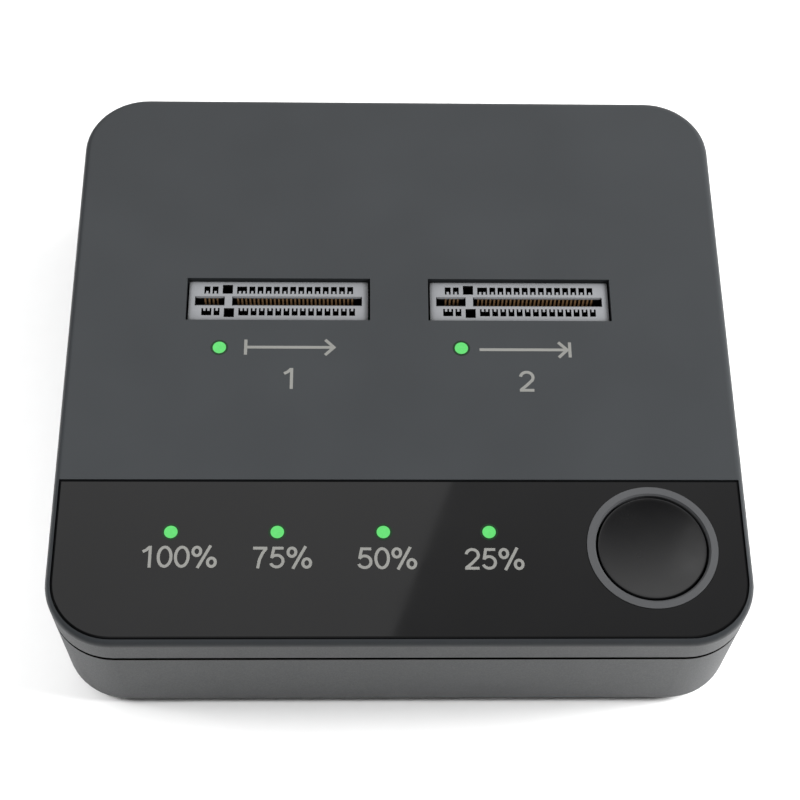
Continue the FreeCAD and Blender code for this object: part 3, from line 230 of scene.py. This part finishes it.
rubber = moulded("foot_rubber", RUBBER_COLOUR, roughness=0.75, grain=0.3 * MM, relief=0.01 * MM)
feet_low, feet_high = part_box("rubber_feet")
foot_height = feet_high.z - feet_low.z
foot_profile = [(HUB_RADIUS, HOLLOW_DEPTH), (RING_INSIDE - HOLLOW_SLOPE, HOLLOW_DEPTH),
                (RING_INSIDE, 0), (RING_OUTSIDE, 0),
                (RING_OUTSIDE + HOLLOW_SLOPE, HOLLOW_DEPTH),
                (SOLE_INSIDE - HOLLOW_SLOPE, HOLLOW_DEPTH), (SOLE_INSIDE, 0)]
foot_profile += rounded_corner(FOOT_RADIUS - FOOT_RIM, FOOT_RIM, FOOT_RIM, -1)
foot_profile += [(FOOT_RADIUS, foot_height)]
for number, x in enumerate((feet_low.x + FOOT_RADIUS, feet_high.x - FOOT_RADIUS)):
    for end, y in enumerate((feet_low.y + FOOT_RADIUS, feet_high.y - FOOT_RADIUS)):
        foot = lathe("rubber_foot_%d" % (number * 2 + end + 1), foot_profile)
        foot.location = (x, y, feet_low.z)
        foot.data.materials.append(rubber)
        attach(foot, "housing")
        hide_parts("rubber_feet")


# ---------------------------------------------------------------- screws
# Two self-tapping steel screws with cross recesses, blackened, in deep pockets.

BLACKENED_COLOUR = (0.05, 0.05, 0.055)
STREAK_STRETCH = 0.04
SPOT_SIZE = 1.5 * MM


def drawn_metal(name, colour, roughness, streak, relief, axis=0, tarnish=0.12):
    """Rolled or drawn metal, with streaks along one axis."""
    finish, tree, shader, place = new_finish(name)
    shader.inputs["Metallic"].default_value = 1.0
    stretch = tree.nodes.new("ShaderNodeMapping")
    scale = [1.0, 1.0, 1.0]
    scale[axis] = STREAK_STRETCH
    stretch.inputs["Scale"].default_value = scale
    tree.links.new(place, stretch.inputs["Vector"])
    streaks = noise(tree, stretch.outputs["Vector"], streak, 4.0)
    spots = spread(tree, noise(tree, place, SPOT_SIZE, 3.0), 0, 1)
    dull = [part * (1 - tarnish) for part in colour]
    tree.links.new(blend_colours(tree, spots, dull, colour), shader.inputs["Base Color"])
    gloss = spread(tree, streaks, roughness * 0.7, roughness * 1.3)
    tree.links.new(gloss, shader.inputs["Roughness"])
    raise_grain(tree, shader, streaks, relief)
    return finish


screw_black = drawn_metal("screw_blackening", BLACKENED_COLOUR, roughness=0.38, streak=0.1 * MM,
                          relief=0.004 * MM, axis=2)
dress(screw_black, "housing_screws")


# ---------------------------------------------------------------- circuit board
# A green glass-fibre board with copper tracks under its solder mask, and on it the copy
# controller, two bridge chips, memories, crystals, coils and capacitors.

MASK_COLOUR = (0.006, 0.055, 0.025)
TRACK_COLOUR = (0.016, 0.11, 0.05)
TRACK_SPACING = 6 * MM
TRACK_WIDTH = 0.045
PACKAGE_COLOUR = (0.014, 0.014, 0.015)
FERRITE_COLOUR = (0.06, 0.06, 0.062)
CERAMIC_COLOUR = (0.30, 0.19, 0.11)
NYLON_COLOUR = (0.010, 0.010, 0.011)
TIN_COLOUR = (0.62, 0.61, 0.58)
STEEL_COLOUR = (0.55, 0.56, 0.58)
GOLD_COLOUR = (0.30, 0.185, 0.095)
GOLD_METALLIC = 0.4
ALUMINIUM_COLOUR = (0.72, 0.72, 0.73)


def board_finish():
    """Solder mask: lighter over the tracks, which run square to the edges."""
    finish, tree, shader, place = new_finish("board_mask")
    tracks = tree.nodes.new("ShaderNodeTexBrick")
    tracks.inputs["Scale"].default_value = 1 / TRACK_SPACING
    tracks.inputs["Mortar Size"].default_value = TRACK_WIDTH
    tree.links.new(place, tracks.inputs["Vector"])
    colour = blend_colours(tree, tracks.outputs["Fac"], MASK_COLOUR, TRACK_COLOUR)
    tree.links.new(colour, shader.inputs["Base Color"])
    gloss = spread(tree, noise(tree, place, 2 * MM), 0.22, 0.34)
    tree.links.new(gloss, shader.inputs["Roughness"])
    raise_grain(tree, shader, tracks.outputs["Fac"], 0.02 * MM)
    return finish


chip = moulded("chip_package", PACKAGE_COLOUR, roughness=0.5, grain=0.12 * MM, relief=0.003 * MM)
ferrite = moulded("pressed_ferrite", FERRITE_COLOUR, roughness=0.6, grain=0.2 * MM,
                  relief=0.01 * MM)
ceramic = moulded("fired_ceramic", CERAMIC_COLOUR, roughness=0.45, grain=0.15 * MM,
                  relief=0.003 * MM)
black_nylon = moulded("black_nylon", NYLON_COLOUR, roughness=0.4, grain=0.2 * MM,
                      relief=0.003 * MM)
tin = drawn_metal("tin_plate", TIN_COLOUR, roughness=0.32, streak=0.08 * MM, relief=0.002 * MM)
steel = drawn_metal("stamped_steel", STEEL_COLOUR, roughness=0.25, streak=0.08 * MM,
                    relief=0.002 * MM, axis=1)
gold = drawn_metal("gold_flash", GOLD_COLOUR, roughness=0.5, streak=0.1 * MM, relief=0.001 * MM,
                   axis=2)
shader_of(gold).inputs["Metallic"].default_value = GOLD_METALLIC
can = drawn_metal("drawn_aluminium", ALUMINIUM_COLOUR, roughness=0.28, streak=0.06 * MM,
                  relief=0.002 * MM, axis=2)
dress(board_finish(), "circuit_board")
dress(chip, "copy_controller", "drive_bridge_chips", "memory_chips", "power_transistors")
dress(ferrite, "power_coils")
dress(ceramic, "ceramic_capacitors")
dress(black_nylon, "capacitor_bases")
dress(can, "electrolytic_capacitors", "crystals")
dress(tin, "memory_legs")


# ---------------------------------------------------------------- M.2 sockets
# Two upright edge sockets in light grey glass-filled plastic. Gold-flashed blades line both
# walls of the slot, and tinned brackets solder the ends to the board.

SOCKET_COLOUR = (0.165, 0.169, 0.177)
RECESS_REACH = 1.6 * MM
RECESS_DARK = 0.55
RECESS_LIGHT = 0.95
TIP_TOP = 0.28 * MM
TIP_THIN = 0.3


def paint_recess_shade(finish, reach):
    """Paints shade into the colour where the surface is closed in, from its occlusion: narrow deep
    windows are dark inside, where little light gets in.
    """
    tree = finish.node_tree
    shader = shader_of(finish)
    depth = tree.nodes.new("ShaderNodeAmbientOcclusion")
    depth.samples = 8
    depth.inputs["Distance"].default_value = reach
    opened = tree.nodes.new("ShaderNodeMapRange")
    opened.inputs["From Min"].default_value = RECESS_DARK
    opened.inputs["From Max"].default_value = RECESS_LIGHT
    tree.links.new(depth.outputs["AO"], opened.inputs["Value"])
    blend = tree.nodes.new("ShaderNodeMix")
    blend.data_type = "RGBA"
    tree.links.new(opened.outputs["Result"], blend.inputs["Factor"])
    blend.inputs["A"].default_value = (*PAINTED_SHADOW_COLOUR, 1)
    tree.links.new(shader.inputs["Base Color"].links[0].from_socket, blend.inputs["B"])
    tree.links.new(blend.outputs["Result"], shader.inputs["Base Color"])


def contact_tips(side):
    """The tip of each blade, which slopes back into the slot's wall to let a drive in."""
    blades = nodes[side + "_socket_contacts"].data.vertices
    top = max(vertex.co.z for vertex in blades)
    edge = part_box(side + "_socket_housing")[1].z - TIP_TOP
    corners = {(round(vertex.co.x / MM, 2), round(vertex.co.y / MM, 2))
               for vertex in blades if top - vertex.co.z < TOUCHING}
    rows = sorted({y for x, y in corners})
    build = bmesh.new()
    for wall, inner in ((rows[0], rows[1]), (rows[3], rows[2])):
        xs = sorted(x for x, y in corners if y == wall)
        crown_inner = wall + (inner - wall) * TIP_THIN
        for left, right in zip(xs[::2], xs[1::2]):
            foot = [build.verts.new((x * MM, y * MM, top))
                    for x, y in ((left, wall), (right, wall), (right, inner), (left, inner))]
            crown = [build.verts.new((x * MM, y * MM, edge))
                     for x, y in ((left, wall), (right, wall), (right, crown_inner),
                                  (left, crown_inner))]
            build.faces.new(crown)
            for step in range(4):
                after = (step + 1) % 4
                build.faces.new((foot[step], foot[after], crown[after], crown[step]))
    bmesh.ops.recalc_face_normals(build, faces=build.faces)
    mesh = bpy.data.meshes.new(side + "_contact_tips")
    build.to_mesh(mesh)
    build.free()
    tips = bpy.data.objects.new(side + "_contact_tips", mesh)
    bpy.context.scene.collection.objects.link(tips)
    tips.data.materials.append(gold)
    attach(tips, "housing")


socket_plastic = moulded("socket_plastic", SOCKET_COLOUR, roughness=0.48, grain=0.09 * MM,
                         relief=0.003 * MM, mottle=0.04)
# Painted shade in the windows and wherever the socket's plastic is closed in.
paint_recess_shade(socket_plastic, RECESS_REACH)
for side in ("source", "target"):
    dress(socket_plastic, side + "_socket_housing")
    dress(gold, side + "_socket_contacts")
    dress(tin, side + "_socket_anchors")
    contact_tips(side)


# ---------------------------------------------------------------- rear ports
# A USB-C receptacle, a barrel power jack and a push switch sit at the board's rear edge. The
# jack's pin is plated with nickel, which is darker than the tin on its spring.

PIN_COLOUR = (0.24, 0.23, 0.21)
CAP_COLOUR = (0.014, 0.014, 0.015)

dress(steel, "usb_c_shell", "power_switch_bracket")
dress(black_nylon, "usb_c_tongue", "jack_body", "power_switch_body", "power_switch_plunger")
dress(gold, "usb_c_contacts")
dress(tin, "jack_spring", "jack_tabs")
nickel = drawn_metal("pin_nickel", PIN_COLOUR, roughness=0.35, streak=0.06 * MM,
                     relief=0.002 * MM, axis=1)
dress(nickel, "jack_pin")
cap_plastic = moulded("cap_plastic", CAP_COLOUR, roughness=0.3, grain=0.25 * MM, relief=0.002 * MM)
dress(cap_plastic, "power_button_cap")


# ---------------------------------------------------------------- lamps and light guides
# Surface-mounted lamps shine up clear moulded guides, whose round ends are flush with the lid and
# glow green, with a painted dim green glow round each, laid on the lid as a thin flat ring. A
# black moulding keeps the progress lamps apart.

GLOW_COLOUR = (0.125, 0.74, 0.17)
GLOW_STRENGTH = 0.82
HALO_GLOW_COLOUR = (0.001, 0.028, 0.005)
HALO_GLOW_STRENGTH = 0.9
UNLIT_SHARE = 0.06
PROGRESS_PIN = 0.82 * MM
SLOT_PIN = 0.85 * MM
HALO_WIDTH = 0.26 * MM
HALO_SHIFT = 0.08 * MM
HALO_HEIGHT = 0.008 * MM


def glowing(name, colour, strength):
    """Clear plastic lit from inside: an even glow with a faint cloudiness."""
    finish, tree, shader, place = new_finish(name)
    clouds = spread(tree, noise(tree, place, 0.5 * MM), 0, 1)
    paler = [part * 1.12 for part in colour]
    tree.links.new(blend_colours(tree, clouds, colour, paler), shader.inputs["Emission Color"])
    unlit = [part * UNLIT_SHARE for part in colour]
    shader.inputs["Base Color"].default_value = (*unlit, 1)
    shader.inputs["Emission Strength"].default_value = strength
    gloss = spread(tree, noise(tree, place, 0.2 * MM), 0.2, 0.3)
    tree.links.new(gloss, shader.inputs["Roughness"])
    return finish


def lay_flat(name, build, height, finish):
    """Makes flat faces into a thin layer of the given height, fixed to the housing."""
    mesh = bpy.data.meshes.new(name)
    build.to_mesh(mesh)
    build.free()
    piece = bpy.data.objects.new(name, mesh)
    bpy.context.scene.collection.objects.link(piece)
    thick = piece.modifiers.new("layer", "SOLIDIFY")
    thick.thickness = height
    thick.offset = 1.0
    bpy.context.view_layer.update()
    solid = bpy.data.meshes.new_from_object(piece.evaluated_get(
        bpy.context.evaluated_depsgraph_get()))
    piece.modifiers.clear()
    piece.data = solid
    piece.data.materials.clear()
    piece.data.materials.append(finish)
    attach(piece, "housing")


def band(build, points, width, level, closed=False):
    """Lays faces of one width along a line of points, with mitred corners."""
    count = len(points)
    pairs = []
    for place in range(count):
        here = Vector(points[place])
        sides = []
        if closed or place > 0:
            sides.append(here - Vector(points[place - 1]))
        if closed or place < count - 1:
            sides.append(Vector(points[(place + 1) % count]) - here)
        across = [Vector((-side.y, side.x)).normalized() for side in sides]
        mitre = sum(across, Vector((0, 0))).normalized()
        mitre *= width / 2 / mitre.dot(across[0])
        pairs.append([build.verts.new((end.x, end.y, level))
                      for end in (here - mitre, here + mitre)])
    for place in range(count if closed else count - 1):
        after = pairs[(place + 1) % count]
        build.faces.new((pairs[place][0], after[0], after[1], pairs[place][1]))


def oval(x, y, across, up, start=0, end=360, count=32):
    """Points on an oval about (x, y) between two angles; a full turn leaves its last point out."""
    last = count if end - start == 360 else count + 1
    angles = [math.radians(start + (end - start) * step / count) for step in range(last)]
    return [(x + across * math.cos(angle), y + up * math.sin(angle)) for angle in angles]


def round_ends(name, top, radius):
    """The middles of the round ends that a node's pins have at the given height."""
    points = [vertex.co for vertex in nodes[name].data.vertices if vertex.co.z > top - TOUCHING]
    middles = []
    for point in points:
        if all(math.hypot(point.x - x, point.y - y) > 3 * radius for x, y in middles):
            near = [other for other in points
                    if math.hypot(point.x - other.x, point.y - other.y) < 3 * radius]
            xs = [other.x for other in near]
            ys = [other.y for other in near]
            middles.append(((max(xs) + min(xs)) / 2, (max(ys) + min(ys)) / 2))
    return middles


guide = glowing("lit_guide", GLOW_COLOUR, GLOW_STRENGTH)
# A painted glow: a thin ring that glows dim green round the end of each guide.
painted_halo = glowing("painted_glow_halo", HALO_GLOW_COLOUR, HALO_GLOW_STRENGTH)
painted_halos = bmesh.new()
for name, radius in (("progress_light_guide", PROGRESS_PIN), ("slot_light_pipes", SLOT_PIN)):
    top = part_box(name)[1].z
    middle_line = radius + HALO_SHIFT
    for x, y in round_ends(name, top, radius):
        band(painted_halos, oval(x, y, middle_line, middle_line), HALO_WIDTH, top, True)
lay_flat("painted_lamp_halos", painted_halos, HALO_HEIGHT, painted_halo)
dress(guide, "progress_light_guide", "slot_light_pipes", "progress_lamps", "slot_lamps")
dress(black_nylon, "light_baffle", "tact_switch_body", "tact_switch_stem")
dress(steel, "tact_switch_cover")
dress(tin, "tact_switch_legs")


# ---------------------------------------------------------------- top shell
# The lid, from the same material and with the same grain as the tray, and with the same painted
# shade along the seam.

dress(casing, "top_shell")


# ---------------------------------------------------------------- front panel
# A polished black acrylic sheet, laser cut and held in the lid's recess by a die-cut
# double-sided sheet.

PANEL_COLOUR = (0.0030, 0.0030, 0.0032)
GLUE_COLOUR = (0.02, 0.02, 0.02)

glue = moulded("glue_sheet", GLUE_COLOUR, roughness=0.7, grain=0.3 * MM, relief=0.005 * MM)
dress(glue, "panel_adhesive")


def polished(name, colour, roughness):
    """Smooth dark plastic: deep, with a trace of haze where it has been wiped."""
    finish, tree, shader, place = new_finish(name)
    clouds = spread(tree, noise(tree, place, 9 * MM, 3.0), 0, 1)
    lighter = [part * 1.15 for part in colour]
    tree.links.new(blend_colours(tree, clouds, colour, lighter), shader.inputs["Base Color"])
    gloss = spread(tree, noise(tree, place, 5 * MM, 4.0), roughness, roughness * 1.8)
    tree.links.new(gloss, shader.inputs["Roughness"])
    return finish


dress(polished("panel_acrylic", PANEL_COLOUR, roughness=0.03), "front_panel")


# ---------------------------------------------------------------- clone button
# A satin grey trim ring, turned from aluminium and painted, with the dished black button
# inside it. Under the skirt a round post stands for the one that reaches the switch.

RING_COLOUR = (0.045, 0.046, 0.048)
BUTTON_COLOUR = (0.0022, 0.0022, 0.0024)
BUTTON_SHEEN = 0.47
BUTTON_RADIUS = 6.25 * MM
BUTTON_RIM = 0.02 * MM
BUTTON_EDGE = 0.12 * MM
SKIRT_HEIGHT = 3.0 * MM
POST_RADIUS = 1.6 * MM
POST_HUB = 0.3 * MM
DISH_DEPTH = 0.65 * MM
DISH_HUB = 0.02 * MM
DISH_STEPS = 20

ring_paint = moulded("ring_paint", RING_COLOUR, roughness=0.38, grain=0.1 * MM,
                     relief=0.002 * MM)
dress(ring_paint, "button_ring")
button_low, button_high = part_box("button_cap")
ring_low, ring_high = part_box("button_ring")
centre = (ring_low + ring_high) / 2
skirt_low = button_high.z - SKIRT_HEIGHT
dish_radius = BUTTON_RADIUS - BUTTON_EDGE - BUTTON_RIM
sphere = (dish_radius ** 2 + DISH_DEPTH ** 2) / (2 * DISH_DEPTH)
dish = []
for step in range(DISH_STEPS + 1):
    radius = dish_radius * (1 - step / DISH_STEPS) + DISH_HUB * step / DISH_STEPS
    sag = math.sqrt(sphere ** 2 - radius ** 2) - (sphere - DISH_DEPTH)
    dish.append((radius, button_high.z - sag))
cap_profile = [(POST_HUB, button_low.z), (POST_RADIUS, button_low.z), (POST_RADIUS, skirt_low),
               (BUTTON_RADIUS, skirt_low)]
cap_profile += rounded_corner(BUTTON_RADIUS - BUTTON_EDGE, button_high.z - BUTTON_EDGE,
                              BUTTON_EDGE, 0)
cap_profile += dish
button = lathe("clone_button_face", cap_profile)
button.location = (centre.x, centre.y, 0)
satin = polished("button_satin", BUTTON_COLOUR, roughness=0.17)
shader_of(satin).inputs["Specular IOR Level"].default_value = BUTTON_SHEEN
button.data.materials.append(satin)
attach(button, "clone_button")
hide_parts("button_cap")


# ---------------------------------------------------------------- printed figures
# Pale grey screen-printed marks, about a hundredth of a millimetre thick: the four steps of
# the progress scale on the panel, and an arrow and a number at each slot on the lid.

INK_COLOUR = (0.150, 0.150, 0.141)
INK_HEIGHT = 0.012 * MM
OVERPRINT = 0.002 * MM
SCALE_CAP_HEIGHT = 2.65 * MM
SLOT_CAP_HEIGHT = 2.85 * MM
STROKE = 0.130
FIGURE_STEP = 0.73
PERCENT_STEP = 1.18
ARROW_STROKE = 0.38 * MM
ARROW_HALF = 5.3 * MM
ARROW_HEAD = 1.05 * MM

# Each figure is one or more strokes, closed or open, on a grid where the cap height is one.
ZERO = [(oval(0.365, 0.5, 0.27, 0.443), True)]
ONE = [([(0.465, 0), (0.465, 1)], False), ([(0.15, 0.73), (0.30, 0.81), (0.44, 0.95)], False)]
TWO = [(oval(0.365, 0.68, 0.262, 0.253, 172, -30) + [(0.36, 0.31), (0.11, 0.09)], False),
       ([(0.05, 0.0675), (0.66, 0.0675)], False)]
FIVE = [([(0.155, 0.9325), (0.63, 0.9325)], False), ([(0.215, 0.9325), (0.135, 0.47)], False),
        (oval(0.35, 0.335, 0.268, 0.270, 146, -158), False)]
SEVEN = [([(0.06, 0.9325), (0.665, 0.9325)], False),
         ([(0.63, 0.9325), (0.47, 0.70), (0.35, 0.42), (0.28, 0)], False)]
PERCENT = [(oval(0.26, 0.745, 0.165, 0.195), True), (oval(0.90, 0.245, 0.165, 0.195), True),
           ([(0.31, -0.02), (0.84, 1.02)], False)]
FIGURES = {"0": ZERO, "1": ONE, "2": TWO, "5": FIVE, "7": SEVEN, "%": PERCENT}

ink = moulded("screen_ink", INK_COLOUR, roughness=0.55, grain=0.05 * MM, relief=0.001 * MM)


def print_figures(name, words, middle, baseline, height, surface):
    """Prints figures about a middle line, on a baseline, in their cap height."""
    steps = [(PERCENT_STEP if sign == "%" else FIGURE_STEP) * height for sign in words]
    start = middle - sum(steps) / 2
    build = bmesh.new()
    for sign, step in zip(words, steps):
        for order, (points, closed) in enumerate(FIGURES[sign]):
            line = [(start + x * height, baseline + y * height) for x, y in points]
            band(build, line, STROKE * height, surface + order * OVERPRINT, closed)
        start += step
    lay_flat(name, build, INK_HEIGHT, ink)


def print_arrow(name, middle, centre_line, bar, surface):
    """An arrow to the right, and a bar whose place runs from -1 at the tail to 1 at the point."""
    build = bmesh.new()
    point = middle + ARROW_HALF
    head = [(point - ARROW_HEAD, centre_line + ARROW_HEAD), (point, centre_line),
            (point - ARROW_HEAD, centre_line - ARROW_HEAD)]
    band(build, [(middle - ARROW_HALF, centre_line), (point, centre_line)], ARROW_STROKE, surface)
    band(build, head, ARROW_STROKE, surface + OVERPRINT)
    stop = middle + bar * ARROW_HALF
    band(build, [(stop, centre_line - ARROW_HEAD), (stop, centre_line + ARROW_HEAD)],
         ARROW_STROKE, surface + 2 * OVERPRINT)
    lay_flat(name, build, INK_HEIGHT, ink)


panel_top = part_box("front_panel")[1].z
lid_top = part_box("top_shell")[1].z
progress_scale = [("100%", -25.13, -28.35), ("75%", -13.43, -28.45), ("50%", -1.57, -28.54),
                  ("25%", 10.58, -28.62)]
for words, middle, baseline in progress_scale:
    print_figures("scale_" + words.strip("%"), words, middle * MM, baseline * MM,
                  SCALE_CAP_HEIGHT, panel_top)
print_arrow("source_arrow", -13.2 * MM, 0.25 * MM, -1, lid_top)
print_figures("source_number", "1", -13.2 * MM, -5.45 * MM, SLOT_CAP_HEIGHT, lid_top)
print_arrow("target_arrow", 14.95 * MM, 0.0, 1.06, lid_top)
print_figures("target_number", "2", 15.2 * MM, -5.75 * MM, SLOT_CAP_HEIGHT, lid_top)


# ---------------------------------------------------------------- studio
# A white sweep under a soft sky that is dark overhead and bright at the rear. Four fill lamps
# stay out of reflections, and a faint level card shows in the panel, with its edge across it.

CAMERA_PLACE = Vector((-4.147, -105.033, 203.341)) * MM
CAMERA_DOWN = 1.07861
CAMERA_TURN = 0.06011
CAMERA_ROLL = 0.05538
LENS = 78.91
SHIFT = -0.0185
FLOOR_COLOUR = (0.86, 0.86, 0.86)
FLOOR_REACH = 3.0
GLOW_SHARPNESS = 8
SKY_GLOWS = [(45, 12, 1.65), (0, 42, 1.52), (180, 28, 0.50)]
CARD_PLACE = (-0.2144, 0.271, 0.52)
CARD_TURN = -0.351
CARD_LENGTH = 0.5
CARD_WIDTH = 0.26
CARD_POWER = 0.32

floor_mesh = bpy.data.meshes.new("floor")
floor_mesh.from_pydata([(-FLOOR_REACH, -FLOOR_REACH, 0), (FLOOR_REACH, -FLOOR_REACH, 0),
                        (FLOOR_REACH, FLOOR_REACH, 0), (-FLOOR_REACH, FLOOR_REACH, 0)],
                       [], [(0, 1, 2, 3)])
floor = bpy.data.objects.new("floor", floor_mesh)
bpy.context.scene.collection.objects.link(floor)
paper, paper_tree, paper_shader, paper_place = new_finish("paper_sweep")
paper_shader.inputs["Roughness"].default_value = 0.9
paper_shader.inputs["Specular IOR Level"].default_value = 0.1
fibre = spread(paper_tree, noise(paper_tree, paper_place, 3 * MM), 0, 1)
paper_tree.links.new(blend_colours(paper_tree, fibre, FLOOR_COLOUR,
                                   [part * 0.99 for part in FLOOR_COLOUR]),
                     paper_shader.inputs["Base Color"])
floor.data.materials.append(paper)

world = bpy.data.worlds.new("studio")
bpy.context.scene.world = world
world.use_nodes = True
sky = world.node_tree
direction = sky.nodes.new("ShaderNodeTexCoord").outputs["Generated"]


def add_glow(total, turn, height, level):
    """A soft patch of sky: degrees clockwise from the rear, degrees up, and brightness."""
    turn = math.radians(turn)
    height = math.radians(height)
    towards = sky.nodes.new("ShaderNodeVectorMath")
    towards.operation = "DOT_PRODUCT"
    towards.inputs[1].default_value = (math.sin(turn) * math.cos(height),
                                       math.cos(turn) * math.cos(height), math.sin(height))
    sky.links.new(direction, towards.inputs[0])
    falloff = sky.nodes.new("ShaderNodeMath")
    falloff.operation = "MULTIPLY_ADD"
    falloff.inputs[1].default_value = GLOW_SHARPNESS
    falloff.inputs[2].default_value = math.log(level) - GLOW_SHARPNESS
    sky.links.new(towards.outputs["Value"], falloff.inputs[0])
    patch = sky.nodes.new("ShaderNodeMath")
    patch.operation = "EXPONENT"
    sky.links.new(falloff.outputs["Value"], patch.inputs[0])
    if total is None:
        return patch.outputs["Value"]
    both = sky.nodes.new("ShaderNodeMath")
    both.operation = "ADD"
    sky.links.new(total, both.inputs[0])
    sky.links.new(patch.outputs["Value"], both.inputs[1])
    return both.outputs["Value"]


brightness = None
for turn, height, level in SKY_GLOWS:
    brightness = add_glow(brightness, turn, height, level)
sky.nodes["Background"].inputs["Color"].default_value = (1, 1, 1, 1)
sky.links.new(brightness, sky.nodes["Background"].inputs["Strength"])


def soft_lamp(name, place, turn, width, height, power):
    """A rectangular lamp in watts, which points straight down before its turn."""
    light = bpy.data.lights.new(name, "AREA")
    light.shape = "RECTANGLE"
    light.size = width
    light.size_y = height
    light.energy = power
    lamp = bpy.data.objects.new(name, light)
    bpy.context.scene.collection.objects.link(lamp)
    lamp.matrix_world = Matrix.Translation(place) @ turn
    return lamp


# Each fill lamp: its name, its place and aim in metres, the side of its square, and its power.
fills = [("rear_right_lamp", (0.35, 0.20, 0.40), (0, 0, 0.01), 0.25, 1.42),
         ("rear_left_lamp", (-0.35, 0.20, 0.40), (0, 0, 0.01), 0.25, 0.90),
         ("right_lamp", (0.20, -0.034, 0.16), (0, -0.01, 0.02), 0.08, 1.00),
         ("left_lamp", (-0.13, -0.034, 0.13), (-0.03, -0.02, 0.02), 0.05, 0.20)]
for name, place, aim, size, power in fills:
    turn = (Vector(aim) - Vector(place)).to_track_quat("-Z", "Y").to_matrix().to_4x4()
    soft_lamp(name, place, turn, size, size, power).visible_glossy = False
soft_lamp("card", CARD_PLACE, Matrix.Rotation(CARD_TURN, 4, "Z"), CARD_LENGTH, CARD_WIDTH,
          CARD_POWER)

# The camera turns about the vertical, tilts down and then rolls about its own axis.
right = Vector((math.cos(CAMERA_TURN), -math.sin(CAMERA_TURN), 0))
forward = Vector((math.sin(CAMERA_TURN) * math.cos(CAMERA_DOWN),
                  math.cos(CAMERA_TURN) * math.cos(CAMERA_DOWN), -math.sin(CAMERA_DOWN)))
up = right.cross(forward)
rolled_right = right * math.cos(CAMERA_ROLL) + up * math.sin(CAMERA_ROLL)
rolled_up = up * math.cos(CAMERA_ROLL) - right * math.sin(CAMERA_ROLL)
lens = bpy.data.cameras.new("camera")
lens.sensor_width = 36
lens.lens = LENS
lens.shift_x = SHIFT
lens.clip_start = 0.01
camera = bpy.data.objects.new("camera", lens)
bpy.context.scene.collection.objects.link(camera)
turned = Matrix((rolled_right, rolled_up, -forward)).transposed().to_4x4()
camera.matrix_world = Matrix.Translation(CAMERA_PLACE) @ turned
bpy.context.scene.camera = camera
bpy.context.scene.view_settings.view_transform = "Standard"
